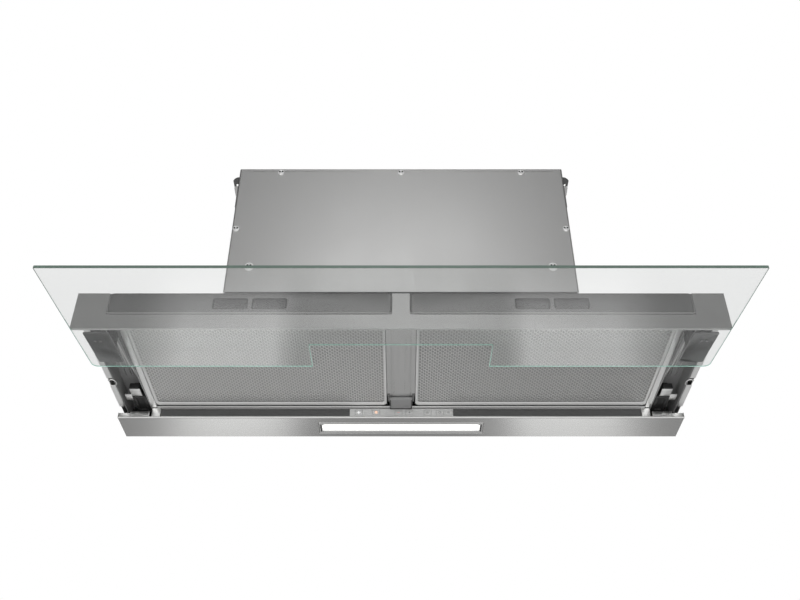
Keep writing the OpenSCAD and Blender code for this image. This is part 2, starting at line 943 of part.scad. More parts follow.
// Screen: glass, carrier plates bonded on it, sliders, and the guide rails fixed in the channels
carrier_x = liner_in_x + liner_t + 2 * move_gap;
carrier_back = 12;
carrier_u = glass_d - carrier_l - carrier_back;
rail_x = liner_in_x + liner_t + seat_gap;
rail_plate_t = 2;
rail_tongue = 9;
rail_up = 18.5;
rail_w_low = glass_t + carrier_t + rail_up;
rail_h = 12;
rail_tongue_t = 4;
slider_x = rail_x + rail_plate_t + 4 * move_gap;
slider_back_t = 4;
slider_out_x = rail_x + rail_plate_t + rail_tongue + move_gap + slider_back_t;
slider_u = carrier_u + slider_set;
slider_w_top = rail_w_low + rail_h;
tongue_w = rail_w_low + (rail_h - rail_tongue_t) / 2;
foot_t = 2;
rail_end = 6;

module glass_screen() {
    color("#bfe3d6", 0.45)
        on_slope()
            linear_extrude(height = glass_t)
                difference() {
                    polygon(rounded([-glass_w / 2, 0], [glass_w / 2, glass_d], glass_front_r, glass_r));
                    polygon(rounded(
                        [-notch_x, glass_d - notch_d], [notch_x, glass_d + glass_r + cut],
                        glass_front_r, glass_r
                    ));
                }
}

module carrier() {
    on_slope()
        translate([0, 0, glass_t])
            linear_extrude(height = carrier_t)
                polygon(rounded(
                    [carrier_x, carrier_u], [carrier_x + carrier_w, carrier_u + carrier_l],
                    glass_front_r, glass_front_r
                ));
}

module carrier_left() {
    color("#6f6f6f")
        on_side(true)
            carrier();
}

module carrier_right() {
    color("#6f6f6f")
        on_side(false)
            carrier();
}

module screen_sliders() {
    foot_w = glass_t + carrier_t;
    color("#2b2b2b")
        both_sides()
            on_slope()
                difference() {
                    union() {
                        block(
                            [slider_x, slider_u, foot_w],
                            [slider_out_x, slider_u + slider_l, foot_w + foot_t]
                        );
                        block(
                            [slider_x, slider_u + foot_t, foot_w],
                            [slider_out_x, slider_u + slider_l - foot_t, slider_w_top]
                        );
                    }
                    block(
                        [slider_x - cut, slider_u - cut, tongue_w - move_gap],
                        [
                            rail_x + rail_plate_t + rail_tongue + move_gap, slider_u + slider_l + cut,
                            tongue_w + rail_tongue_t + move_gap
                        ]
                    );
                    block(
                        [slider_x + foot_t, slider_u - cut, foot_w + foot_t],
                        [slider_out_x + cut, slider_u + slider_l + cut, tongue_w - move_gap - foot_t]
                    );
                }
}

module guide_rails() {
    u0 = slider_u - rail_end;
    u1 = slider_u + slider_l + screen_travel + rail_end;
    color("#55585a")
        both_sides()
            on_slope() {
                block([rail_x, u0, rail_w_low], [rail_x + rail_plate_t, u1, rail_w_low + rail_h]);
                block(
                    [rail_x, u0, tongue_w],
                    [rail_x + rail_plate_t + rail_tongue, u1, tongue_w + rail_tongue_t]
                );
            }
}

damper_in = 1;
damper_x = rail_x + damper_in;
damper_w = 22;
damper_back = 46;
damper_low_z = outer_z;
damper_nose_l = 22;
damper_nose_w = 15;
damper_dent = 2;

module soft_close_dampers() {
    front = -damper_back - damper_l;
    top = liner_top_z - liner_t - seat_gap;
    color("#1c1c1c")
        both_sides() {
            difference() {
                block([damper_x, front, damper_low_z], [damper_x + damper_w, -damper_back, top]);
                block(
                    [damper_x + damper_w / 4, front + damper_w / 4, damper_low_z - cut],
                    [damper_x + damper_w * 3 / 4, -damper_back - damper_w / 4, damper_low_z + damper_dent]
                );
            }
            block(
                [damper_x + damper_w - damper_nose_w, front - damper_nose_l, damper_low_z + damper_dent],
                [damper_x + damper_w, front, damper_low_z + damper_w / 2]
            );
        }
}

// Filters, the bridge between them and the catch at its back end
filter_front_gap = 9;
filter_back_gap = 6.4;
filter_front_y = plate_back_y + filter_front_gap;
filter_back_y = -bar_d - filter_back_gap;
filter_out_x = lip_x - move_gap;
catch_back_y = -bar_d - move_gap;
catch_front_y = catch_back_y - catch_l;
catch_t = 5;
catch_drop = 4;
catch_low_z = filter_z - catch_drop;
catch_pin_in = 4;
catch_pin_y = catch_front_y + catch_pin_in;
catch_pin_z = filter_z;
catch_pin_r = 1.5;
catch_boss_r = 3.2;
bridge_up = 1;
bridge_low_z = filter_z + bridge_up;
bridge_groove = 1.4;
bridge_groove_x = 14.2;
bridge_t = 3;
bridge_back_gap = 1.2;
bridge_back_y = catch_front_y - bridge_back_gap;
ear_l = 2;
spine_x = 9;
ear_t = 2.6;
ear_h = 9;
ear_low_z = catch_pin_z - catch_boss_r;

module centre_bridge() {
    y0 = top_front_y;
    ear_x = catch_x + move_gap;
    color("#9c9c9a")
        difference() {
            union() {
                block([-bridge_x, y0, bridge_low_z], [bridge_x, bridge_back_y, bridge_low_z + bridge_t]);
                block([-spine_x, y0, bridge_low_z], [spine_x, bridge_back_y, channel_top_z]);
                both_sides()
                    block(
                        [ear_x, bridge_back_y - ear_l, ear_low_z],
                        [ear_x + ear_t, catch_pin_y + catch_boss_r, bridge_low_z + ear_h]
                    );
            }
            both_sides()
                block(
                    [bridge_groove_x - bridge_groove / 2, y0 - cut, bridge_low_z - cut],
                    [bridge_groove_x + bridge_groove / 2, bridge_back_y + cut, bridge_low_z + bridge_groove]
                );
            translate([0, catch_pin_y, catch_pin_z])
                bar_x(-bridge_x - cut, bridge_x + cut, catch_pin_r + pin_fit);
        }
}

module filter_catch() {
    color("#777775")
        difference() {
            union() {
                block([-catch_x, catch_front_y, catch_low_z], [catch_x, catch_back_y, catch_low_z + catch_t]);
                translate([0, catch_pin_y, catch_pin_z])
                    bar_x(-catch_x, catch_x, catch_boss_r);
                block(
                    [-catch_x, catch_pin_y - catch_boss_r, catch_low_z],
                    [catch_x, catch_pin_y + catch_boss_r, catch_pin_z]
                );
            }
            translate([0, catch_pin_y, catch_pin_z])
                bar_x(-catch_x - cut, catch_x + cut, catch_pin_r + pin_fit);
        }
}

module catch_pin() {
    color("#cfcfcf")
        translate([0, catch_pin_y, catch_pin_z])
            bar_x(-catch_x - move_gap - ear_t, catch_x + move_gap + ear_t, catch_pin_r);
}

// a filter is drawn on the right; its tongue lies on the front plate's ledge
tongue_t = 1.5;
pad_t = 3;
mesh_up = 0.6;
mesh_z = filter_z + mesh_up;

module filter_frame() {
    color("#cfcfcd") {
        difference() {
            block(
                [filter_in_x, filter_front_y, filter_z],
                [filter_out_x, filter_back_y, filter_z + filter_t]
            );
            block(
                [filter_in_x + rim_side, filter_front_y + rim_end, filter_z - cut],
                [filter_out_x - rim_side, filter_back_y - rim_end, filter_z + filter_t + cut]
            );
            block(
                [filter_in_x + rim_side / 2, filter_front_y + rim_end / 2, mesh_z - seat_gap],
                [filter_out_x - rim_side / 2, filter_back_y - rim_end / 2, mesh_z + mesh_t + seat_gap]
            );
            block(
                [filter_in_x + rim_side / 2, filter_front_y + rim_end / 2, mesh_z + mesh_t + 2 * seat_gap],
                [
                    filter_out_x - rim_side / 2,
                    filter_back_y - rim_end / 2,
                    mesh_z + mesh_t + 4 * seat_gap + pad_t
                ]
            );
        }
        block(
            [filter_in_x + 2 * rim_end, filter_front_y - ledge_d + move_gap, ledge_z + move_gap],
            [filter_out_x - 2 * rim_end, filter_front_y + cut, ledge_z + move_gap + tongue_t]
        );
    }
}

module filter_mesh() {
    x0 = filter_in_x + rim_side / 2 + seat_gap;
    x1 = filter_out_x - rim_side / 2 - seat_gap;
    y0 = filter_front_y + rim_end / 2 + seat_gap;
    y1 = filter_back_y - rim_end / 2 - seat_gap;
    open_x0 = filter_in_x + rim_side;
    open_y0 = filter_front_y + rim_end;
    pitch_x = (filter_out_x - rim_side - open_x0) / mesh_cols;
    pitch_y = (filter_back_y - rim_end - open_y0) / mesh_rows;
    bar_share = 0.22;
    color("#a6a6a4")
        translate([0, 0, mesh_z])
            linear_extrude(height = mesh_t)
                difference() {
                    translate([x0, y0])
                        square([x1 - x0, y1 - y0]);
                    for (i = [0:mesh_cols - 1], j = [0:mesh_rows - 1])
                        translate([open_x0 + (i + 0.5) * pitch_x, open_y0 + (j + 0.5) * pitch_y])
                            square([pitch_x, pitch_y] * (1 - bar_share), center = true);
                }
}

module filter_pad() {
    z0 = mesh_z + mesh_t + 3 * seat_gap;
    color("#8a8a88")
        block(
            [filter_in_x + rim_side / 2 + seat_gap, filter_front_y + rim_end / 2 + seat_gap, z0],
            [filter_out_x - rim_side / 2 - seat_gap, filter_back_y - rim_end / 2 - seat_gap, z0 + pad_t]
        );
}

module filter_left_frame() {
    on_side(true)
        filter_frame();
}

module filter_left_mesh() {
    on_side(true)
        filter_mesh();
}

module filter_left_pad() {
    on_side(true)
        filter_pad();
}

module filter_right_frame() {
    on_side(false)
        filter_frame();
}

module filter_right_mesh() {
    on_side(false)
        filter_mesh();
}

module filter_right_pad() {
    on_side(false)
        filter_pad();
}

// Light bar: steel pan, top cover, dark trim strip, light grey end pieces
bar_front_y = -bar_d;
cover_drop = 0.8;
cover_over = 4.4;
cover_z = filter_z - cover_drop;
cover_front_y = bar_front_y - cover_over;
trim_t = 1.2;
trim_in = 3.1;
trim_y = bar_front_y + trim_in;
window_end = 2;
window_edge = 1;
trim_low_z = sheet_t + seat_gap;
frame_x = lens_w / 2 + lens_rim;
frame_y = lens_d / 2 + lens_rim;
lens_y = -lens_back;
lens_r = 5;
lens_z = 0.6;
lens_t = 2.4;
box_wall = 2;
light_box_h = 8;
board_t = 1.6;

module light_bar() {
    color("#bdbdbb")
        difference() {
            union() {
                block([-body_x, bar_front_y, 0], [body_x, 0, sheet_t]);
                block([-body_x, bar_front_y, 0], [body_x, bar_front_y + sheet_t, bar_lip_h]);
                block([-body_x, -sheet_t, 0], [body_x, 0, bar_back_h]);
                both_sides()
                    block([body_x - sheet_t, bar_front_y, 0], [body_x, 0, end_cap_h]);
            }
            block(
                [-frame_x - seat_gap, lens_y - frame_y - seat_gap, -cut],
                [frame_x + seat_gap, lens_y + frame_y + seat_gap, sheet_t + cut]
            );
        }
}

module bar_cover() {
    x1 = lip_x - seat_gap;
    notch = catch_x + move_gap;
    color("#b0b0ae") {
        difference() {
            block([-x1, cover_front_y, cover_z], [x1, -sheet_t - seat_gap, cover_z + sheet_t]);
            block(
                [-notch, cover_front_y - cut, cover_z - cut],
                [notch, catch_back_y + move_gap, cover_z + sheet_t + cut]
            );
        }
        block(
            [-x1, -2 * sheet_t - seat_gap, trim_low_z],
            [x1, -sheet_t - seat_gap, cover_z + sheet_t]
        );
    }
}

module bar_trim() {
    color("#5b5b5b")
        difference() {
            block([-trim_x, trim_y, trim_low_z], [trim_x, trim_y + trim_t, cover_z - seat_gap]);
            block(
                [-fascia_left + window_end, trim_y - cut, fascia_z + window_edge],
                [fascia_right, trim_y + trim_t + cut, fascia_z + fascia_h - window_edge]
            );
        }
}

end_block_w = 14;
end_block_d = 11;
end_cap_w = 19;

module bar_ends() {
    y0 = bar_front_y + sheet_t + seat_gap;
    color("#a9a9a7")
        both_sides() {
            block(
                [trim_x + seat_gap, y0, trim_low_z],
                [trim_x + seat_gap + end_block_w, y0 + end_block_d, cover_z - seat_gap]
            );
            block(
                [body_x - end_cap_w, y0, trim_low_z],
                [body_x - sheet_t - seat_gap, -2 * end_block_d, end_cap_h]
            );
        }
}

module lens_frame() {
    color("#c6c6c4")
        translate([0, lens_y, 0])
            difference() {
                union() {
                    block([-frame_x, -frame_y, 0], [frame_x, frame_y, sheet_t + seat_gap]);
                    block(
                        [-lens_w / 2 - box_wall, -lens_d / 2 - box_wall, 0],
                        [lens_w / 2 + box_wall, lens_d / 2 + box_wall, light_box_h]
                    );
                }
                translate([0, 0, -cut])
                    linear_extrude(height = light_box_h + 2 * cut)
                        polygon(rounded(
                            [-lens_w / 2, -lens_d / 2], [lens_w / 2, lens_d / 2], lens_r, lens_r
                        ));
            }
}

module light_lens() {
    color("#fbfbf6")
        translate([0, lens_y, lens_z])
            linear_extrude(height = lens_t)
                polygon(rounded(
                    [-lens_w / 2 + seat_gap, -lens_d / 2 + seat_gap],
                    [lens_w / 2 - seat_gap, lens_d / 2 - seat_gap], lens_r, lens_r
                ));
}

led_count = 12;
led_w = 5;
led_h = 1.2;

module led_board() {
    z0 = light_box_h + seat_gap;
    color("#dfe2dc")
        translate([0, lens_y, 0]) {
            block(
                [-lens_w / 2 - box_wall, -lens_d / 2 - box_wall, z0],
                [lens_w / 2 + box_wall, lens_d / 2 + box_wall, z0 + board_t]
            );
            for (i = [0:led_count - 1])
                translate([((i + 0.5) / led_count - 0.5) * lens_w, 0, z0 - led_h])
                    block([-led_w / 2, -led_w / 2, 0], [led_w / 2, led_w / 2, led_h + board_t / 2]);
        }
}

// Controls: fascia with seven push keys, and the board behind it
fascia_y = bar_front_y + seat_gap;
key_z = fascia_z + fascia_h / 2;
key_lip = 1;
key_lip_t = 0.8;
key_stem = 4;
board_in = 7.4;
board_front_y = fascia_y + board_in;
post_w = 4;
key_places = [-67, -39.3, -4, 13.3, 42, 61.5, 75.4];
post_places = [(key_places[1] + key_places[2]) / 2, (key_places[3] + key_places[4]) / 2];

module control_fascia() {
    color("#b7b7b5") {
        difference() {
            block(
                [-fascia_left, fascia_y, fascia_z],
                [fascia_right, fascia_y + fascia_t, fascia_z + fascia_h]
            );
            for (x = key_places)
                translate([x, 0, key_z])
                    block(
                        [-key_w / 2 - move_gap, fascia_y - cut, -key_h / 2 - move_gap],
                        [key_w / 2 + move_gap, fascia_y + fascia_t + cut, key_h / 2 + move_gap]
                    );
        }
        for (x = post_places)
            block(
                [x - post_w / 2, fascia_y + fascia_t / 2, key_z - post_w],
                [x + post_w / 2, board_front_y - seat_gap, key_z + post_w]
            );
    }
}

module key(i) {
    color(i == 1 ? "#e8a070" : "#c4c4c2")
        translate([key_places[i], fascia_y, key_z]) {
            block([-key_w / 2, 0, -key_h / 2], [key_w / 2, fascia_t + move_gap + key_lip_t, key_h / 2]);
            block(
                [-key_w / 2 - key_lip, fascia_t + move_gap, -key_h / 2 - key_lip],
                [key_w / 2 + key_lip, fascia_t + move_gap + key_lip_t, key_h / 2 + key_lip]
            );
            block(
                [-key_stem / 2, fascia_t + move_gap, -key_stem / 2],
                [key_stem / 2, board_front_y - fascia_y - key_travel - move_gap, key_stem / 2]
            );
        }
}

module key_light() {
    key(0);
}

module key_power() {
    key(1);
}

module key_minus() {
    key(2);
}

module key_plus() {
    key(3);
}

module key_boost() {
    key(4);
}

module key_timer() {
    key(5);
}

module key_filter() {
    key(6);
}

module control_board() {
    color("#2f6b45")
        block(
            [-fascia_left + window_end, board_front_y, fascia_z],
            [fascia_right - window_end, board_front_y + board_t, fascia_z + fascia_h - window_edge]
        );
}

housing_shell();
housing_frames();
housing_cover();
cover_screws();
exhaust_collar();
collar_screws();
flap_left();
flap_right();
flap_pin();
blower_scroll();
inlet_rings();
impeller();
motor();
motor_shaft();
motor_bracket();
rubber_mounts();
capacitor();
terminal_box();
terminal_lid();
cable_gland();
hanging_clip_left();
hanging_clip_right();
chassis_top();
rear_wall();
front_plate();
side_channel_left();
side_channel_right();
channel_liners();
centre_bridge();
filter_catch();
catch_pin();
filter_left_frame();
filter_left_mesh();
filter_left_pad();
filter_right_frame();
filter_right_mesh();
filter_right_pad();
light_bar();
bar_cover();
bar_trim();
bar_ends();
lens_frame();
light_lens();
led_board();
control_fascia();
key_light();
key_power();
key_minus();
key_plus();
key_boost();
key_timer();
key_filter();
control_board();
glass_screen();
carrier_left();
carrier_right();
screen_sliders();
guide_rails();
soft_close_dampers();
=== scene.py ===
import math
import bmesh
import bpy
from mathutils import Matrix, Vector


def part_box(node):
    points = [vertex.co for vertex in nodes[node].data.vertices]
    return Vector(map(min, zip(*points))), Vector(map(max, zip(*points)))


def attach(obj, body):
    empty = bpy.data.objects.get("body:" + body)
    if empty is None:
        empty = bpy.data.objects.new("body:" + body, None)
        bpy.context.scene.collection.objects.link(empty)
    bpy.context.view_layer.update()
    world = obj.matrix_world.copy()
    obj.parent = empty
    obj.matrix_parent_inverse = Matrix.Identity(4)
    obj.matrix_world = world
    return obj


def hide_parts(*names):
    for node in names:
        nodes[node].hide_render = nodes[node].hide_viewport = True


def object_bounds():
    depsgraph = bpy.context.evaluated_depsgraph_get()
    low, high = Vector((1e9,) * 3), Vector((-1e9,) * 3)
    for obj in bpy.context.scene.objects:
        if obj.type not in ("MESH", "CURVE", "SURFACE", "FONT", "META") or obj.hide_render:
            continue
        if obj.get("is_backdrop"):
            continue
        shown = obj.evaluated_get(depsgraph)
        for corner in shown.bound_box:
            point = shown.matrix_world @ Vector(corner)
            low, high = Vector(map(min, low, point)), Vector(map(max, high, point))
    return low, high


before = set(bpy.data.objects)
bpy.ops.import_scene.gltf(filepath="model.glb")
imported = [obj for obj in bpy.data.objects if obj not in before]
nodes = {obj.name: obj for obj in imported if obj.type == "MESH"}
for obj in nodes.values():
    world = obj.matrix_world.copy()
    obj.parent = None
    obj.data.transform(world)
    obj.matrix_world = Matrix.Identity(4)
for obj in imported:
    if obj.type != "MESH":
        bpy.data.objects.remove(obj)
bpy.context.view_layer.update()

# Where the hood is seen from
# The camera stands below the hood and in front of it, on its middle line, and looks up at its underside.
LENS_MM = 42.56
SENSOR_MM = 36.0
EYE = (0.0, -1.3627, -0.7540)
EYE_PITCH = 127.17
SHIFT_X = -0.00125
NEAR = 0.05

lens = bpy.data.cameras.new("camera")
lens.lens = LENS_MM
lens.sensor_width = SENSOR_MM
lens.shift_x = SHIFT_X
lens.clip_start = NEAR
camera = bpy.data.objects.new("camera", lens)
camera.location = EYE
camera.rotation_euler = (math.radians(EYE_PITCH), 0, 0)
bpy.context.scene.collection.objects.link(camera)
bpy.context.scene.camera = camera

# Motor housing
# A folded front cover of satin steel over a box of galvanised panels on two ring frames. It has a hem
# along its top, and down each side a strip of darker steel, painted shade where the cover folds back.
# Seven pan-head screws hold it, the lowest two on washers, and rivets hold the box's panels.


def both_ways(operation):
    """An operator that adds a Math node, and its reflected form."""
    return (
        lambda self, other: self.maths(operation, self, other),
        lambda self, other: self.maths(operation, other, self)
    )


class Wire:
    """One socket of a node tree. Sums on it add Math nodes, and grow() adds any other node."""

    def __init__(self, tree, socket):
        self.tree = tree
        self.socket = socket

    def grow(self, kind, settings, values, out=0):
        """Adds a node: its settings first, then the values and links of its sockets."""
        made = self.tree.nodes.new("ShaderNode" + kind)
        for name, value in settings.items():
            setattr(made, name, value)
        for key, value in values.items():
            if isinstance(value, Wire):
                self.tree.links.new(value.socket, made.inputs[key])
            else:
                made.inputs[key].default_value = value
        return Wire(self.tree, made.outputs[out])

    def maths(self, operation, first, second=0.0):
        return self.grow("Math", {"operation": operation}, {0: first, 1: second})

    __add__, __radd__ = both_ways("ADD")
    __sub__, __rsub__ = both_ways("SUBTRACT")
    __mul__, __rmul__ = both_ways("MULTIPLY")
    __truediv__, __rtruediv__ = both_ways("DIVIDE")
    __or__, __ror__ = both_ways("MAXIMUM")

    def __gt__(self, other):
        return self.maths("GREATER_THAN", self, other)

    def __lt__(self, other):
        return self.maths("LESS_THAN", self, other)

    def __neg__(self):
        return 0.0 - self

    def __abs__(self):
        return self.maths("ABSOLUTE", self)

    def along(self, axis):
        """The distance along X, Y or Z of a place."""
        return self.grow("SeparateXYZ", {}, {0: self}, out=axis)

    def grain(self, size, detail=2.0, stretch=(1, 1, 1)):
        """Grain from 0 to 1 whose spots are about size metres, drawn out by stretch."""
        scale = [1 / (size * share) for share in stretch]
        scaled = self.grow("VectorMath", {"operation": "MULTIPLY"}, {0: self, 1: scale})
        return self.grow("TexNoise", {}, {"Vector": scaled, "Scale": 1.0, "Detail": detail})

    def flakes(self, size):
        """Crystals about size metres across, each with its own value from 0 to 1."""
        return self.grow("TexVoronoi", {}, {"Vector": self, "Scale": 1 / size}, out="Color") * 1.0

    def blend(self, low, high):
        """Runs from one colour to the other as this value goes from 0 to 1."""
        low, high = (end if isinstance(end, Wire) else (*end, 1.0) for end in (low, high))
        return self.grow("Mix", {"data_type": "RGBA"}, {0: self, 6: low, 7: high}, out=2)

    def feed(self, shader, socket):
        self.tree.links.new(self.socket, shader.inputs[socket])

    def emboss(self, shader, depth):
        """Raises the surface by up to depth metres as this value goes from 0 to 1."""
        self.grow("Bump", {}, {"Height": self, "Distance": depth, "Strength": 1.0}).feed(shader, "Normal")


def finish(name, **constants):
    """A material with its shader's even values set, and the place on the piece."""
    material = bpy.data.materials.new(name)
    material.use_nodes = True
    tree = material.node_tree
    shader = tree.nodes["Principled BSDF"]
    for socket, value in constants.items():
        shader.inputs[socket.replace("_", " ")].default_value = value
    return material, shader, Wire(tree, tree.nodes.new("ShaderNodeTexCoord").outputs["Object"])


def grey(value):
    return value, value, value


def tinted(shade, share):
    """A colour made darker or lighter by a share."""
    return [min(1.0, value * share) for value in shade]


BRUSHED = {"X": (150, 1, 1), "Y": (1, 150, 1), "Z": (1, 1, 150)}
STREAK = 0.0009
STREAK_DEPTH = 0.000004
CLOUD = 0.09


def rolled_steel(name, shade, rough, grain_axis="X", streak=STREAK, spread=0.06, metal=1.0):
    """Sheet steel: fine streaks along one axis and soft clouds, in its colour, gloss and surface."""
    material, shader, place = finish(name, Metallic=metal)
    streaks = place.grain(streak, 2.0, BRUSHED[grain_axis])
    clouds = place.grain(CLOUD, 3.0)
    tone = streaks * 0.65 + clouds * 0.35
    tone.blend(tinted(shade, 1 - spread), tinted(shade, 1 + spread)).feed(shader, "Base Color")
    (rough + (streaks - 0.5) * 0.14 + (clouds - 0.5) * 0.08).feed(shader, "Roughness")
    streaks.emboss(shader, STREAK_DEPTH)
    return material


ZINC_CRYSTAL = 0.009
ZINC_CLOUD = 0.05
ZINC_PIT = 0.0012
ZINC_DEPTH = 0.00001


def zinc_coated(name, shade, rough):
    """Galvanised sheet with its flat crystals of zinc."""
    material, shader, place = finish(name, Metallic=1.0)
    crystals = place.flakes(ZINC_CRYSTAL)
    tone = crystals * 0.7 + place.grain(ZINC_CLOUD) * 0.3
    tone.blend(tinted(shade, 0.86), tinted(shade, 1.1)).feed(shader, "Base Color")
    (rough + (crystals - 0.5) * 0.16).feed(shader, "Roughness")
    place.grain(ZINC_PIT).emboss(shader, ZINC_DEPTH)
    return material


def wear(material, *names):
    """Gives CAD nodes this finish."""
    for name in names:
        nodes[name].data.materials.clear()
        nodes[name].data.materials.append(material)


SAME_POINT = 1e-6
FLAT_ANGLE = math.radians(0.5)
SHARP_ANGLE = 40


def soften(width, *names):
    """Breaks the sharp edges of CAD nodes by a small round."""
    for name in names:
        weld = nodes[name].modifiers.new("weld", "WELD")
        weld.merge_threshold = SAME_POINT
        flat = nodes[name].modifiers.new("flat", "DECIMATE")
        flat.decimate_type = "DISSOLVE"
        flat.angle_limit = FLAT_ANGLE
        edges = nodes[name].modifiers.new("edges", "BEVEL")
        edges.width = width
        edges.segments = 2
        edges.limit_method = "ANGLE"
        edges.angle_limit = math.radians(SHARP_ANGLE)


def opened(mesh):
    """A mesh laid open for work, with its doubled points joined."""
    whole = bmesh.new()
    whole.from_mesh(mesh)
    bmesh.ops.remove_doubles(whole, verts=whole.verts, dist=SAME_POINT)
    return whole


def solids_of(name):
    """The lowest and highest corners of each separate solid of a CAD node, from left to right."""
    whole = opened(nodes[name].data)
    left = set(whole.verts)
    found = []
    while left:
        reached = {left.pop()}
        edge = list(reached)
        while edge:
            near = {e.other_vert(v) for v in edge for e in v.link_edges} - reached
            reached |= near
            edge = list(near)
        left -= reached
        low = Vector([min(v.co[i] for v in reached) for i in range(3)])
        high = Vector([max(v.co[i] for v in reached) for i in range(3)])
        found.append((low, high))
    whole.free()
    return sorted(found, key=lambda pair: tuple(pair[0]))


def put(name, mesh, body, node=None):
    """Puts a new piece in the scene: the body that it rides on and the CAD node it stands for."""
    made = bpy.data.objects.new(name, mesh)
    bpy.context.scene.collection.objects.link(made)
    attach(made, body)
    if node:
        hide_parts(node)


def stood(place, axis):
    """Takes the points of an upright shape to where it stands along axis."""
    leant = Vector((0, 0, 1)).rotation_difference(Vector(axis)).to_matrix()
    return lambda x, y, z: Vector(place) + leant @ Vector((x, y, z))


class Skin:
    """Gathers the faces of one new piece, shape by shape."""

    def __init__(self):
        self.points = []
        self.faces = []

    def add(self, points, faces):
        first = len(self.points)
        self.points += [tuple(point) for point in points]
        self.faces += [[first + i for i in face] for face in faces]
        return self

    def loft(self, loops, ends="capped"):
        """Joins closed loops of points one to the next, with its ends capped, open or joined."""
        count = len(loops[0])
        rows = len(loops)
        faces = []
        for row in range(rows if ends == "joined" else rows - 1):
            here = row * count
            there = (row + 1) % rows * count
            for i in range(count):
                j = (i + 1) % count
                faces.append([here + i, here + j, there + j, there + i])
        if ends == "capped":
            faces += [list(range(count)), [(rows - 1) * count + i for i in range(count)]]
        return self.add([point for loop in loops for point in loop], faces)

    def turn(self, profile, place, axis, steps=32, ends="capped"):
        """A turned shape about axis. The profile holds radius and height from place."""
        at = stood(place, axis)
        angles = [2 * math.pi * i / steps for i in range(steps)]
        loops = [[at(r * math.cos(a), r * math.sin(a), h) for a in angles] for r, h in profile]
        return self.loft(loops, ends)

    def pan_head(self, place, axis, radius, height):
        """A domed screw head with a cross recess, from shares of its radius and height."""
        at = stood(place, axis)
        dome = [(1, 0), (1, 0.45), (0.94, 0.72), (0.8, 0.92)]
        dome += [(share, 1) for share in (0.62, 0.6, 0.46, 0.3, 0.14)]
        steps = 48
        arm = 0.17
        reach = 0.61
        depth = 0.6
        loops = []
        for share, rise in dome:
            loop = []
            for i in range(steps):
                x = share * math.cos(2 * math.pi * i / steps)
                y = share * math.sin(2 * math.pi * i / steps)
                sunk = share < reach and min(abs(x), abs(y)) < arm
                loop.append(at(x * radius, y * radius, height * (rise - depth * sunk)))
            loops.append(loop)
        return self.loft(loops)

    def rivet(self, place, axis, radius):
        """A low domed rivet head, from shares of its radius."""
        dome = [(1, 0), (0.96, 0.2), (0.7, 0.42), (0.25, 0.52)]
        return self.turn([(radius * r, radius * h) for r, h in dome], place, axis, 20)

    def block(self, low, high, edge):
        """A block with rounded edges."""
        solid = bmesh.new()
        bmesh.ops.create_cube(solid, size=1.0)
        for vert in solid.verts:
            vert.co = [(l + h) / 2 + c * (h - l) for l, h, c in zip(low, high, vert.co)]
        bmesh.ops.bevel(solid, geom=solid.edges[:], offset=edge, segments=2, profile=0.5, affect="EDGES")
        solid.verts.index_update()
        self.add([v.co for v in solid.verts], [[v.index for v in face.verts] for face in solid.faces])
        solid.free()
        return self

    def blocks(self, xs, ys, zs, edge):
        """A block with rounded edges and its mirror image at the other side."""
        for side in (-1, 1):
            left, right = sorted(side * x for x in xs)
            self.block((left, ys[0], zs[0]), (right, ys[1], zs[1]), edge)
        return self

    def piece(self, name, body, slot, material, sharp=35, node=None):
        """Makes the piece from what was gathered, and puts it in the scene."""
        mesh = bpy.data.meshes.new(name)
        mesh.from_pydata(self.points, [], self.faces)
        whole = opened(mesh)
        bmesh.ops.recalc_face_normals(whole, faces=whole.faces)
        whole.to_mesh(mesh)
        whole.free()
        mesh.shade_smooth()
        mesh.set_sharp_from_angle(angle=math.radians(sharp))
        mesh.materials.append(material)
        put(name, mesh, body, node)


FOLD_EDGE = 0.0008
SHEET_EDGE = 0.0005
cover_steel = rolled_steel("cover_steel", (0.58, 0.58, 0.575), 0.38, "Z", spread=0.03)
galvanised_steel = zinc_coated("galvanised_steel", (0.6, 0.61, 0.62), 0.4)
wear(cover_steel, "housing_cover")
wear(galvanised_steel, "housing_shell", "housing_frames")
soften(FOLD_EDGE, "housing_cover")
soften(SHEET_EDGE, "housing_shell", "housing_frames")

HEM_DROP = 0.0048
HEM_H = 0.0014
HEM_T = 0.00025
HEM_END = 0.012
HEM_EDGE = HEM_T * 0.9
FOLD_SHADE_W = 0.0017
low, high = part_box("housing_cover")
cover_y = low.y
hem_z = high.z - HEM_DROP
hem = Skin().block(
    (low.x + HEM_END, cover_y - HEM_T, hem_z - HEM_H), (high.x - HEM_END, cover_y + HEM_T, hem_z), HEM_EDGE
)
hem.piece("cover_hem", "hood", "cover_steel", cover_steel)
# The side strips are a darker copy of the cover steel: painted shade of the folded edge.
fold_shade_steel = rolled_steel("fold_shade_steel", (0.33, 0.33, 0.326), 0.4, "Z")
fold_shade = Skin().blocks(
    (high.x - FOLD_SHADE_W, high.x + HEM_T), (cover_y - HEM_T, cover_y + HEM_T),
    (low.z + FOLD_SHADE_W, high.z - FOLD_SHADE_W), HEM_EDGE
)
fold_shade.piece("cover_fold_shade", "hood", "cover_steel", fold_shade_steel)

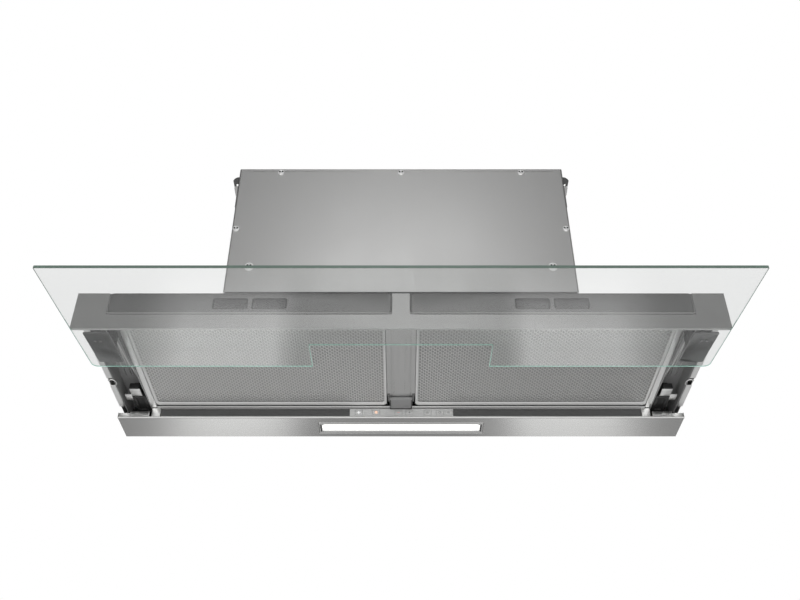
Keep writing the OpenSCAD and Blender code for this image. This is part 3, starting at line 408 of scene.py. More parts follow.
HEAD_R = 0.005
LOW_HEAD_R = 0.004
LOW_SCREW_DROP = 0.0026
LOW_SCREW_Z = 0.12
WASHER_BORE_R = 0.0028
WASHER_T = 0.0006
WASHER_LIP = 0.0001
SOCKET_R = 0.0014
SOCKET_APART = 0.0021
SOCKET_FROM = 0.4
SOCKET_LONG = 0.7
FINE_STREAK = 0.0004
bright_steel = rolled_steel("bright_steel", (0.74, 0.74, 0.73), 0.32, streak=FINE_STREAK)
# Near-white and mostly not metal: the washers and the housing's screw heads carry a painted sheen for their
# bright highlights.
painted_sheen_steel = rolled_steel("painted_sheen_steel", (0.96, 0.96, 0.95), 0.3, streak=FINE_STREAK, metal=0.4)
# Near-black steel: the dark plugs in the screw heads and the lens slits are painted shade of their recesses.
recess_shade_steel = rolled_steel("recess_shade_steel", grey(0.05), 0.3, streak=FINE_STREAK)
screws = Skin()
sockets = Skin()
washers = Skin()
for low, high in solids_of("cover_screws"):
    middle = (low + high) / 2
    middle.z -= LOW_SCREW_DROP if middle.z < LOW_SCREW_Z else 0
    radius = (high.x - low.x) / 2
    head = cover_y - low.y
    head_r = HEAD_R
    if radius > HEAD_R:
        head_r = LOW_HEAD_R
        washers.turn(
            [
                (radius, -WASHER_LIP), (radius, WASHER_T - WASHER_LIP), (radius - WASHER_LIP, WASHER_T),
                (WASHER_BORE_R, WASHER_T), (WASHER_BORE_R, -WASHER_LIP)
            ],
            (middle.x, cover_y, middle.z), (0, -1, 0), 40, "joined"
        )
    screws.pan_head((middle.x, cover_y, middle.z), (0, -1, 0), head_r, head)
    for apart in (-SOCKET_APART, SOCKET_APART):
        sockets.turn(
            [(SOCKET_R, 0), (SOCKET_R, head * SOCKET_LONG)],
            (middle.x + apart, cover_y - head * SOCKET_FROM, middle.z), (0, -1, 0), 12
        )
sockets.piece("screw_socket_shade", "hood", "bright_fasteners", recess_shade_steel)
washers.piece("screw_washers", "hood", "bright_fasteners", painted_sheen_steel)
screws.piece("housing_screws", "hood", "bright_fasteners", painted_sheen_steel, node="cover_screws")

RIVET_R = 0.0024
RIVET_IN = 0.008
RIVET_SHARES = (0.08, 0.36, 0.64, 0.92)
ROOF_SHARES = (0.2475, 0.4575, 0.6675, 0.8775)
rivets = Skin()
low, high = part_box("housing_shell")
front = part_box("housing_cover")[1].y
for side in (-1, 1):
    for share, roof_share in zip(RIVET_SHARES, ROOF_SHARES):
        up = low.z + share * (high.z - low.z)
        back = front + share * (high.y - front)
        rivets.rivet((side * high.x, high.y - RIVET_IN, up), (side, 0, 0), RIVET_R)
        rivets.rivet((side * high.x, back, low.z + RIVET_IN), (side, 0, 0), RIVET_R)
        rivets.rivet((side * roof_share * high.x, high.y - RIVET_IN, high.z), (0, 0, 1), RIVET_R)
rivets.piece("housing_rivets", "hood", "bright_fasteners", bright_steel)

# Hanging clips
# A dark bent clip at each upper front corner of the housing, held by one bright screw.
# The housing hangs by them while the insert is lifted into its cabinet.
CLIP_PLATE_T = 0.0016
CLIP_LUG = (
    (0.2468, 0.2746), (0.2506, 0.2745), (0.2535, 0.2730), (0.2558, 0.2702), (0.2569, 0.2672),
    (0.2564, 0.2652), (0.2547, 0.2622), (0.2538, 0.2590), (0.2534, 0.2548), (0.2512, 0.2525),
    (0.2468, 0.2518)
)
CLIP_LUG_D = 0.019
CLIP_LUG_ROUND = 0.0006
CLIP_LUG_DRAW = 0.08
CLIP_TONGUE = ((0.2484, 0.2545), (0.2534, 0.2545), (0.2533, 0.2500), (0.2506, 0.2380), (0.2484, 0.2320))
CLIP_TONGUE_Y = (-0.0004, 0.0008)
CLIP_SCREW = (0.2492, 0.2564)
CLIP_SCREW_OUT = 0.0003
CLIP_SCREW_HEAD = ((0.0018, -0.0006), (0.0018, 0.0006), (0.001548, 0.001), (0.0001, 0.00105))
CLIP_SCREW_LEAN = (0.17, 1, 0.13)
clip_steel = rolled_steel("clip_steel", grey(0.17), 0.5, "Z", spread=0.15)
clip_screws = Skin()
clip_tongues = Skin()
middle_x = sum(x for x, z in CLIP_LUG) / len(CLIP_LUG)
middle_z = sum(z for x, z in CLIP_LUG) / len(CLIP_LUG)
aside, ahead, down = CLIP_SCREW_LEAN
for side, name in ((-1, "hanging_clip_left"), (1, "hanging_clip_right")):
    low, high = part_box(name)
    root = min(abs(low.x), abs(high.x))
    left, right = sorted((side * root, side * (root + CLIP_PLATE_T)))
    clip = Skin().block((left, low.y, low.z), (right, high.y, high.z), SHEET_EDGE)
    back = low.y + CLIP_LUG_D
    ends = (
        (CLIP_LUG_DRAW, low.y), (0, low.y + CLIP_LUG_ROUND),
        (0, back - CLIP_LUG_ROUND), (CLIP_LUG_DRAW, back)
    )
    clip.loft([
        [(side * (x + (middle_x - x) * draw), y, z + (middle_z - z) * draw) for x, z in CLIP_LUG]
        for draw, y in ends
    ])
    clip.piece(name + "_form", "hood", "clip_steel", clip_steel, node=name)
    clip_tongues.loft([[(side * x, low.y + y, z) for x, z in CLIP_TONGUE] for y in CLIP_TONGUE_Y])
    clip_screws.turn(
        CLIP_SCREW_HEAD, (side * CLIP_SCREW[0], low.y - CLIP_SCREW_OUT, CLIP_SCREW[1]),
        (-side * aside, -ahead, -down), 20
    )
clip_screws.piece("clip_screws", "hood", "bright_fasteners", bright_steel)
clip_tongues.piece("clip_tongues", "hood", "bright_fasteners", bright_steel)

# Exhaust collar and its two backdraught flaps
# Black moulded plastic: a flange screwed to the roof and a spigot for a 150 mm duct, with two beads
# that a hose clamp holds on. The flaps hang on one steel pin across it.
PIT = 0.0008
PIT_DEPTH = 0.00003
MOTTLE = 0.03
SMEAR = 0.015


def moulded(name, dark, light, rough, size=PIT, shine=0.5):
    """Moulded plastic with a fine spark-eroded grain."""
    material, shader, place = finish(name, Specular_IOR_Level=shine)
    pits = place.grain(size, 2.0)
    (pits * 0.6 + place.grain(MOTTLE) * 0.4).blend(dark, light).feed(shader, "Base Color")
    (rough + (place.grain(SMEAR, 3.0) - 0.5) * 0.14).feed(shader, "Roughness")
    pits.emboss(shader, PIT_DEPTH)
    return material


def trimmed(name, width, sharp):
    """The skin of a CAD node laid open, in whole flats and with its sharp edges rounded."""
    whole = opened(nodes[name].data)
    bmesh.ops.dissolve_limit(whole, angle_limit=FLAT_ANGLE, verts=whole.verts, edges=whole.edges)
    edges = [e for e in whole.edges if len(e.link_faces) == 2 and e.calc_face_angle() > math.radians(sharp)]
    bmesh.ops.bevel(
        whole, geom=edges, offset=width, segments=2, profile=0.5, affect="EDGES", clamp_overlap=True
    )
    return whole


def closed(whole, name, *materials):
    """A copy of a CAD node's mesh that holds the new skin and its finishes."""
    mesh = nodes[name].data.copy()
    mesh.materials.clear()
    for material in materials:
        mesh.materials.append(material)
    whole.to_mesh(mesh)
    whole.free()
    if "custom_normal" in mesh.attributes:
        mesh.attributes.remove(mesh.attributes["custom_normal"])
    return mesh


def finer(name, width, material, body="hood"):
    """Stands in for a CAD node: its own shape in one skin, with rounded edges and smooth round parts."""
    mesh = closed(trimmed(name, width, SHARP_ANGLE), name, material)
    mesh.shade_smooth()
    mesh.set_sharp_from_angle(angle=math.radians(SHARP_ANGLE))
    put(name + "_form", mesh, body, name)


THIN_EDGE = 0.0004
FINE_EDGE = 0.0003
black_plastic = moulded("black_plastic", grey(0.012), grey(0.03), 0.48)
finer("exhaust_collar", THIN_EDGE, black_plastic)
finer("flap_left", FINE_EDGE, black_plastic, "flap_l")
finer("flap_right", FINE_EDGE, black_plastic, "flap_r")
wear(bright_steel, "flap_pin")

BEAD_R = 0.0007
BEAD_SUNK = 0.0001
BEAD_DROPS = (0.006, 0.030)
SPIGOT_R = 0.0745
FLANGE_T = 0.002
low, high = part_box("exhaust_collar")
flange_top = low.z + FLANGE_T
spigot_y = (low.y + high.y) / 2
beads = Skin()
for drop in BEAD_DROPS:
    profile = [
        (SPIGOT_R + BEAD_R * math.sin(math.radians(a)) - BEAD_SUNK, BEAD_R * 2 * math.cos(math.radians(a)))
        for a in (0, 30, 60, 90, 120, 150, 180, 270)
    ]
    beads.turn(profile, (0, spigot_y, high.z - drop), (0, 0, 1), 96, "joined")
beads.piece("spigot_beads", "hood", "black_plastic", black_plastic)

heads = Skin()
for low, high in solids_of("collar_screws"):
    middle = (low + high) / 2
    heads.pan_head((middle.x, middle.y, flange_top), (0, 0, 1), (high.x - low.x) / 2, high.z - flange_top)
heads.piece("collar_screw_heads", "hood", "bright_fasteners", bright_steel, node="collar_screws")

# Blower
# A plastic scroll with two steel inlet rings, a double fan wheel on the shaft of a painted motor,
# the motor on a steel bracket with rubber mounts, and its capacitor. The housing hides all of it.
PRESS_EDGE = 0.0006
fan_plastic = moulded("fan_plastic", (0.05, 0.055, 0.06), (0.09, 0.095, 0.1), 0.5)
motor_paint = moulded("motor_paint", (0.03, 0.035, 0.04), (0.06, 0.065, 0.07), 0.35, size=0.0015)
mount_rubber = moulded("mount_rubber", grey(0.015), grey(0.03), 0.8, size=0.0004)
capacitor_case = moulded("capacitor_case", (0.6, 0.6, 0.58), (0.68, 0.68, 0.66), 0.4)
wear(black_plastic, "blower_scroll")
wear(fan_plastic, "impeller")
wear(motor_paint, "motor")
wear(mount_rubber, "rubber_mounts")
wear(capacitor_case, "capacitor")
wear(bright_steel, "motor_shaft")
wear(galvanised_steel, "motor_bracket", "inlet_rings")
soften(PRESS_EDGE, "blower_scroll", "motor", "motor_bracket", "inlet_rings")

# Terminal box
# A black moulded box for the mains terminals on the housing's roof. Its lid has four screws,
# and a gland with a hexagon nut holds the cable in its back wall.
MOULD_EDGE = 0.0012
LID_EDGE = 0.0009
finer("terminal_box", MOULD_EDGE, black_plastic)
finer("terminal_lid", LID_EDGE, black_plastic)
finer("cable_gland", THIN_EDGE, black_plastic)
LID_SCREW_IN = 0.008
LID_SCREW_R = 0.003
LID_SCREW_H = 0.0018
NUT_R = 0.0112
NUT_L = 0.0055
NUT_FROM = 0.0002
CAP_R = 0.010304
CAP_L = 0.007
CAP_FROM = 0.0145
NUT_ARRIS = 0.0006
low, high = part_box("terminal_lid")
lid_screws = Skin()
for x in (low.x + LID_SCREW_IN, high.x - LID_SCREW_IN):
    for y in (low.y + LID_SCREW_IN, high.y - LID_SCREW_IN):
        lid_screws.pan_head((x, y, high.z), (0, 0, 1), LID_SCREW_R, LID_SCREW_H)
lid_screws.piece("lid_screws", "hood", "bright_fasteners", bright_steel)
box_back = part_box("terminal_box")[1].y
low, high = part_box("cable_gland")
gland_x = (low.x + high.x) / 2
gland_z = (low.z + high.z) / 2
gland_r = (high.x - low.x) / 2
nuts = Skin()
for start, length, outer, sides in ((NUT_FROM, NUT_L, NUT_R, 6), (CAP_FROM, CAP_L, CAP_R, 18)):
    profile = [
        (gland_r, 0), (outer - NUT_ARRIS, 0), (outer, NUT_ARRIS), (outer, length - NUT_ARRIS),
        (outer - NUT_ARRIS, length), (gland_r, length)
    ]
    nuts.turn(profile, (gland_x, box_back + start, gland_z), (0, 1, 0), sides, "joined")
nuts.piece("gland_nuts", "hood", "black_plastic", black_plastic, sharp=20)

# Slim body
# A top sheet and a back wall of galvanised steel behind a folded front plate of brushed steel, with
# a thin dark strip where the plate meets the housing's cover, painted shadow of the seam. The plate has
# two shallow pressed fields with a finer, darker finish and two vent pockets in each.


def reopen(material):
    """The shader of a finish made above, the place on the piece and the colour so far."""
    tree = material.node_tree
    shader = tree.nodes["Principled BSDF"]
    place = Wire(tree, tree.nodes.new("ShaderNodeTexCoord").outputs["Object"])
    return shader, place, Wire(tree, shader.inputs["Base Color"].links[0].from_socket)


FIELD_IN = 0.0123
FIELD_OUT = 0.4035
FIELD_Z = 0.0132
wear(galvanised_steel, "chassis_top", "rear_wall")
soften(FINE_EDGE, "chassis_top", "rear_wall")
plate_steel = rolled_steel("plate_steel", (0.48, 0.48, 0.475), 0.4)
shader, place, tone = reopen(plate_steel)
beside = abs(place.along("X"))
in_field = (beside > FIELD_IN) * (beside < FIELD_OUT) * (place.along("Z") > FIELD_Z)
(in_field * 0.72).blend(tone, grey(0.1)).feed(shader, "Base Color")
wear(plate_steel, "front_plate")
soften(PRESS_EDGE, "front_plate")

# A dark strip along the foot of the housing's cover: painted shadow of the seam between cover and plate.
SEAM_SHADOW_OUT = 0.0005
SEAM_SHADOW_DOWN = 0.0003
SEAM_SHADOW_UP = 0.0021
SEAM_SHADOW_EDGE = 0.0002
seam_shadow_paint = moulded("seam_shadow_paint", grey(0.05), grey(0.08), 0.7)
low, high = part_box("housing_cover")
seam_shadow_strip = Skin().block(
    (low.x + SEAM_SHADOW_UP, low.y - SEAM_SHADOW_OUT, low.z - SEAM_SHADOW_DOWN),
    (high.x - SEAM_SHADOW_UP, low.y + SEAM_SHADOW_OUT, low.z + SEAM_SHADOW_UP), SEAM_SHADOW_EDGE
)
seam_shadow_strip.piece("housing_seam_shadow", "hood", "mount_rubber", seam_shadow_paint)


def rounded(x0, y0, x1, y1, radius, steps):
    """A rectangle with round corners, as points in its own plane."""
    left, right = x0 + radius, x1 - radius
    down, up = y0 + radius, y1 - radius
    points = []
    for corner, (x, y) in enumerate(((right, up), (left, up), (left, down), (right, down))):
        for i in range(steps + 1):
            angle = math.pi / 2 * (corner + i / steps)
            points.append((x + radius * math.cos(angle), y + radius * math.sin(angle)))
    return points


PRESS_LINE = (
    (-0.0003, -0.00004), (0.0003, 0.00012), (0.0009, 0.00062), (0.0013, 0.00086), (0.0017, 0.00084),
    (0.0022, 0.00052), (0.0027, 0.00030), (0.0032, 0.00026)
)
POCKET_WALL = (
    (0.0, 0.00026), (0.0004, 0.00045), (0.0008, 0.0011), (0.0014, 0.0019), (0.0024, 0.0024), (0.004, 0.0026)
)
FIELD_R = 0.006
FIELD_TOP_GAP = 0.0002
POCKET_R = 0.0035
POCKET_X = (0.157, 0.211)
POCKET_W = 0.0487
POCKET_Z = 0.0221
POCKET_H = 0.019
POCKET_FLOOR = 0.0022
POCKET_GRAIN = 0.004
BRUSH_DEPTH = 0.00001
CORNER_STEPS = 6
low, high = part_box("front_plate")
# The pocket floors are painted darker toward their tops and the walls near-black: painted shade in the
# recesses.
pocket_painted_shade, shader, place = finish("pocket_painted_shade", Metallic=1.0)
sunk = (place.along("Z") - POCKET_Z) / POCKET_H
brushing = place.grain(STREAK, 2.0, BRUSHED["X"])
floor_painted_shade = (sunk * 0.8 + brushing * 0.2).blend((0.115, 0.115, 0.114), grey(0.045))
on_floor = place.along("Y") > low.y + POCKET_FLOOR
on_floor.blend(grey(0.012), floor_painted_shade).feed(shader, "Base Color")
(0.36 + (place.grain(POCKET_GRAIN) - 0.5) * 0.1).feed(shader, "Roughness")
brushing.emboss(shader, BRUSH_DEPTH)
fields = Skin()
pockets = Skin()
for side in (-1, 1):
    loops = []
    for inset, depth in PRESS_LINE:
        top = high.z - FIELD_TOP_GAP - inset * 0.2
        outline = rounded(
            FIELD_IN + inset, FIELD_Z + inset, FIELD_OUT - inset, top, FIELD_R - inset * 0.6, CORNER_STEPS
        )
        loops.append([(side * x, low.y + depth, z) for x, z in outline])
    fields.loft(loops, "open")
    outlines = [loops[-1]]
    for pocket_x in POCKET_X:
        loops = []
        for inset, depth in POCKET_WALL:
            outline = rounded(
                pocket_x + inset, POCKET_Z + inset, pocket_x + POCKET_W - inset, POCKET_Z + POCKET_H - inset,
                POCKET_R - inset * 0.4, CORNER_STEPS
            )
            loops.append([(side * x, low.y + depth, z) for x, z in outline])
        outlines.append(loops[0])
        pockets.loft(loops, "open")
        pockets.add(loops[-1], [list(range(len(loops[-1])))])
    flat = bmesh.new()
    for outline in outlines:
        ring = [flat.verts.new(point) for point in outline]
        for i, vert in enumerate(ring):
            flat.edges.new((vert, ring[(i + 1) % len(ring)]))
    bmesh.ops.triangle_fill(flat, use_beauty=True, edges=flat.edges[:])
    flat.verts.index_update()
    fields.add([v.co for v in flat.verts], [[v.index for v in face.verts] for face in flat.faces])
    flat.free()

# Along the foot of each field: a pale band, painted highlight of the pressed edge, and below it a dark band,
# painted shadow.
PAINTED_LINE_Z = (0.0014, 0.0016, 0.0036)
field_steel = rolled_steel("field_steel", (0.235, 0.235, 0.233), 0.42)
shader, place, tone = reopen(field_steel)
up = place.along("Z") - FIELD_Z
painted_highlight = (up > PAINTED_LINE_Z[1]) * (up < PAINTED_LINE_Z[2])
tone = (painted_highlight * 0.7).blend(tone, (0.62, 0.62, 0.61))
painted_shadow = up < PAINTED_LINE_Z[0]
(painted_shadow * 0.8).blend(tone, grey(0.05)).feed(shader, "Base Color")
fields.piece("pressed_fields", "hood", "brushed_steel", field_steel, sharp=60)
pockets.piece("vent_pockets", "hood", "brushed_steel", pocket_painted_shade, sharp=60)

# Side channels
# An open channel of light steel sheet at each side, with an outer and an inner lip and a grey liner
# that has three ribs, painted darker toward the front as shade. The screen's guide rail, its soft-close
# damper, a spring clip and a hook of bent wire are fixed in it.
# The liner goes darker toward the front: painted shade in the channel's front end.
LINER_SHADE_Y = (-0.17, -0.215)
light_steel = rolled_steel("light_steel", (0.78, 0.78, 0.77), 0.3, "Y")
channel_steel = rolled_steel("channel_steel", (0.9, 0.9, 0.89), 0.42, "Y")
rail_steel = rolled_steel("rail_steel", grey(0.34), 0.35, "Y")
dark_liner = moulded("dark_liner", grey(0.36), grey(0.44), 0.5)
shader, place, tone = reopen(dark_liner)
fade_from, fade_to = LINER_SHADE_Y
front_shade = place.grow("MapRange", {}, {0: place.along("Y"), 1: fade_from, 2: fade_to, 3: 0.0, 4: 1.0})
front_shade.blend(tone, grey(0.09)).feed(shader, "Base Color")
wear(channel_steel, "side_channel_left", "side_channel_right")
wear(dark_liner, "channel_liners")
wear(rail_steel, "guide_rails")
soften(SHEET_EDGE, "side_channel_left", "side_channel_right", "guide_rails")
finer("soft_close_dampers", MOULD_EDGE, black_plastic)

NOSE_X = (0.4045, 0.4210)
NOSE_Y = (-0.1125, -0.0925)
NOSE_UP = (0.0008, 0.0020)
SPRING_X = (0.4200, 0.4325)
SPRING_Y = (-0.0940, -0.0780)
SPRING_UP = (0.0024, 0.0044)
damper_z = solids_of("soft_close_dampers")[0][0].z
noses = Skin().blocks(NOSE_X, NOSE_Y, [damper_z + up for up in NOSE_UP], SHEET_EDGE)
noses.piece("damper_noses", "hood", "light_steel", light_steel)
springs = Skin().blocks(SPRING_X, SPRING_Y, [damper_z + up for up in SPRING_UP], THIN_EDGE)
springs.piece("channel_springs", "hood", "light_steel", light_steel)

RAIL_LIP_W = 0.0016
RAIL_LIP_T = 0.0009
RAIL_LIP_IN = 0.003
RAIL_LIP_OUT = 0.00012
RAIL_TONGUE_UP = 0.004
RAIL_LEAN = 0.0013
RAIL_RISE = math.tan(math.radians(6.24))
LIP_ROLL_R = 0.0008
LIP_ROLL_END = 0.0004
rail_lips = Skin()
for low, high in solids_of("guide_rails"):
    side = 1 if low.x > 0 else -1
    near = min(abs(low.x), abs(high.x))
    far = max(abs(low.x), abs(high.x))
    for x, up in ((near, 0), (far - RAIL_LIP_W, RAIL_TONGUE_UP)):
        loops = []
        for y in (low.y + RAIL_LIP_IN, high.y - RAIL_LIP_IN):
            z = low.z + up + (y - low.y - RAIL_LEAN) * RAIL_RISE - RAIL_LIP_OUT
            corners = ((x, z), (x + RAIL_LIP_W, z), (x + RAIL_LIP_W, z + RAIL_LIP_T), (x, z + RAIL_LIP_T))
            loops.append([(side * across, y, height) for across, height in corners])
        rail_lips.loft(loops)
low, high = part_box("side_channel_left")
roll_l = high.y - low.y
roll_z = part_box("filter_left_frame")[0].z + LIP_ROLL_R * 0.8
for side in (-1, 1):
    rail_lips.turn(
        [
            (LIP_ROLL_R * 0.7, 0), (LIP_ROLL_R, LIP_ROLL_END), (LIP_ROLL_R, roll_l - LIP_ROLL_END),
            (LIP_ROLL_R * 0.7, roll_l)
        ],
        (side * (LIP_ROLL_R - high.x), low.y, roll_z), (0, 1, 0), 16
    )
rail_lips.piece("rail_lips", "hood", "rail_steel", light_steel)

RIB_X = (0.4165, 0.4205, 0.4290)
RIB_Y = (-0.3000, -0.1160)
RIB_HALF = 0.0005
RIB_DEEP = 0.0012
RIB_EDGE = 0.0002
LINER_SHEET = 0.0014
liner_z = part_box("channel_liners")[1].z - LINER_SHEET
ribs = Skin()
for x in RIB_X:
    ribs.blocks((x - RIB_HALF, x + RIB_HALF), RIB_Y, (liner_z - RIB_DEEP, liner_z), RIB_EDGE)
ribs.piece("liner_ribs", "hood", "dark_liner", light_steel)

HOOK_PATH = (
    (0.4466, -0.1372), (0.4445, -0.1396), (0.4422, -0.1407), (0.4397, -0.1402), (0.4375, -0.1384),
    (0.4361, -0.1354), (0.4357, -0.1322), (0.4362, -0.1290), (0.4376, -0.1262), (0.4408, -0.1243),
    (0.4460, -0.1236)
)
HOOK_R = 0.0011
HOOK_Z = 0.0206
HOOK_STEPS = 12
hooks = Skin()
for side in (-1, 1):
    loops = []
    for i, (x, y) in enumerate(HOOK_PATH):
        before = Vector(HOOK_PATH[max(i - 1, 0)])
        after = Vector(HOOK_PATH[min(i + 1, len(HOOK_PATH) - 1)])
        run = (after - before).normalized()
        loop = []
        for step in range(HOOK_STEPS):
            angle = 2 * math.pi * step / HOOK_STEPS
            out = HOOK_R * math.cos(angle)
            loop.append((side * (x - run.y * out), y + run.x * out, HOOK_Z + HOOK_R * math.sin(angle)))
        loops.append(loop)
    hooks.loft(loops)
hooks.piece("channel_hooks", "hood", "light_steel", light_steel)

# Screen
# One pane of clear toughened glass, ground round its edge and cut out in the middle of its back.
# A dark grey carrier plate is fixed on each back corner with two screws, and a black slider on it runs
# in the guide rail.
EDGE_ARRIS = 0.0005
RIM_ANGLE = 60
FLAT_SHARE = 0.9
FRONT_Y = -0.48
DEPTH_SHARE = 3.6
GLASS_CLOUD = 0.3
GROUND_PIT = 0.002
GROUND_DEPTH = 0.00002
pane_glass, shader, place = finish("pane_glass", Roughness=0.0, IOR=1.5, Transmission_Weight=1.0)
place.grain(GLASS_CLOUD).blend((0.858, 0.866, 0.861), (0.874, 0.882, 0.877)).feed(shader, "Base Color")
# The ground edge glows mint and grows lighter toward the back: painted light that enters the pane from
# behind. Its green is the glass's own.
edge_glass_painted_glow, shader, place = finish(
    "edge_glass_painted_glow", Roughness=0.15, IOR=1.5, Transmission_Weight=0.3, Emission_Strength=0.5
)
glow_toward_back = (place.along("Y") - FRONT_Y) * DEPTH_SHARE
glow_toward_back.blend((0.24, 0.33, 0.28), (0.45, 0.8, 0.68)).feed(shader, "Base Color")
glow_toward_back.blend((0.0, 0.0, 0.0), (0.4, 0.75, 0.63)).feed(shader, "Emission Color")
place.grain(GROUND_PIT).emboss(shader, GROUND_DEPTH)

whole = trimmed("glass_screen", EDGE_ARRIS, RIM_ANGLE)
slope = max(whole.faces, key=lambda face: face.calc_area()).normal.copy()
for face in whole.faces:
    face.material_index = 0 if abs(face.normal.dot(slope)) > FLAT_SHARE else 1
    face.smooth = False
mesh = closed(whole, "glass_screen", pane_glass, edge_glass_painted_glow)
put("glass_pane", mesh, "screen", "glass_screen")

carrier_grey = moulded("carrier_grey", grey(0.25), grey(0.29), 0.7, shine=0.1)
finer("carrier_left", PRESS_EDGE, carrier_grey, "screen")
finer("carrier_right", PRESS_EDGE, carrier_grey, "screen")
finer("screen_sliders", FOLD_EDGE, black_plastic, "screen")

CARRIER_SCREW_X = (0.4215, 0.4141)
CARRIER_SCREW_Y = -0.2897
CARRIER_SCREW_R = 0.0021
CARRIER_SCREW_H = 0.0008
CARRIER_SCREW_SUNK = 0.0002
down = slope if slope.z < 0 else -slope
pane_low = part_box("glass_screen")[0]
screw_z = pane_low.z + (pane_low.y - CARRIER_SCREW_Y) * down.y / down.z + CARRIER_SCREW_SUNK
carrier_screws = Skin()
for side in (-1, 1):
    for x in CARRIER_SCREW_X:
        carrier_screws.pan_head((side * x, CARRIER_SCREW_Y, screw_z), down, CARRIER_SCREW_R, CARRIER_SCREW_H)
carrier_screws.piece("carrier_screws", "screen", "bright_fasteners", rail_steel)

# Filters
# Two cassettes of expanded aluminium in rolled bright rims, with a fleece behind the metal.
# Each rim is one rolled strip with round corners, and a tongue at its front edge lies on the ledge
# of the front plate.
MESH_PITCH_X = 0.0036
MESH_PITCH_Y = 0.0080
MESH_T = 0.0005
MESH_LIFT = 0.00032
BOND_SHARE = 0.36
HOLE_APEX = 0.0018
HOLE_END = 0.0008
HOLE_HALF = 0.0031


def expanded_metal(low, high):
    """Slit and stretched sheet: staggered six-sided holes between strands that are turned on edge."""
    wide = MESH_PITCH_X * (1 - BOND_SHARE)
    bond = MESH_PITCH_X * BOND_SHARE
    half = MESH_PITCH_Y / 2
    ring = [(wide, 0), (bond, half), (-bond, half), (-wide, 0), (-bond, -half), (bond, -half)]
    hole = [(HOLE_APEX, 0), (HOLE_END, HOLE_HALF), (-HOLE_END, HOLE_HALF)]
    hole += [(-x, -y) for x, y in hole]
    lifts = [MESH_LIFT * share for share in (-1, -0.4, 0.4, 1, 0.4, -0.4)]
    columns = int((high.x - low.x) / MESH_PITCH_X) - 1
    rows = int((high.y - low.y) / MESH_PITCH_Y - 0.5) - 1
    x0 = (low.x + high.x - (columns - 1) * MESH_PITCH_X) / 2
    y0 = (low.y + high.y - (rows - 0.5) * MESH_PITCH_Y) / 2
    middle_z = (low.z + high.z) / 2
    faces = []
    for i in range(6):
        j = (i + 1) % 6
        faces += [[i, j, 6 + j, 6 + i], [12 + i, 18 + i, 18 + j, 12 + j], [6 + i, 6 + j, 18 + j, 18 + i]]
    skin = Skin()
    for column in range(columns):
        for row in range(rows):
            x = x0 + column * MESH_PITCH_X
            y = y0 + (row + (column % 2) / 2) * MESH_PITCH_Y
            points = []
            for z in (middle_z - MESH_T / 2, middle_z + MESH_T / 2):
                points += [(x + dx, y + dy, z) for dx, dy in ring]
                points += [(x + dx, y + dy, z + lift) for (dx, dy), lift in zip(hole, lifts)]
            skin.add(points, faces)
    return skin


FLEECE_STEP = 0.005
FLEECE_WAVE = 0.000225
FLEECE_SWELL = 0.0006
FLEECE_EDGE = 0.001
FIBRE_DEPTH = 0.0003


def fleece_pad(low, high):
    """A soft pad whose two sides swell and wave between thin edges."""
    columns = int((high.x - low.x) / FLEECE_STEP)
    rows = int((high.y - low.y) / FLEECE_STEP)
    span = columns + 1
    under = span * (rows + 1)
    points = []
    faces = []
    for edge_z, out in ((low.z + FLEECE_EDGE, -1), (high.z - FLEECE_EDGE, 1)):
        first = len(points)
        for j in range(rows + 1):
            for i in range(columns + 1):
                inside = min(i, j, columns - i, rows - j, 3) / 3
                wave = math.sin(i * 0.9) * math.cos(j * 0.8) + 0.6 * math.sin(i * 0.37 + j * 0.53)
                x = low.x + (high.x - low.x) * i / columns
                y = low.y + (high.y - low.y) * j / rows
                points.append((x, y, edge_z + out * inside * (FLEECE_SWELL + FLEECE_WAVE * wave)))
        corners = [first + j * span + i for j in range(rows) for i in range(columns)]
        faces += [[a, a + 1, a + 1 + span, a + span] for a in corners]
    rim = list(range(columns)) + [j * span + columns for j in range(rows)]
    rim += [rows * span + i for i in range(columns, 0, -1)] + [j * span for j in range(rows, 0, -1)]
    faces += [[a, b, under + b, under + a] for a, b in zip(rim, rim[1:] + rim[:1])]
    return Skin().add(points, faces)


# Near-white and mostly not metal: a painted sheen stands in for the bright reflection of the rolled steel
# rims. The lens bezel wears it too.
filter_rim = rolled_steel("filter_rim", (0.94, 0.94, 0.93), 0.42, streak=0.0005, metal=0.15)
filter_metal = rolled_steel("filter_metal", (0.77, 0.77, 0.76), 0.48, "Y", streak=0.0006)
filter_fleece, shader, place = finish("filter_fleece", Roughness=0.95, Sheen_Weight=0.4)
fibres = place.grain(STREAK, 4.0, (1, 3, 1))
fibres.blend(grey(0.46), (0.6, 0.6, 0.59)).feed(shader, "Base Color")
fibres.emboss(shader, FIBRE_DEPTH)

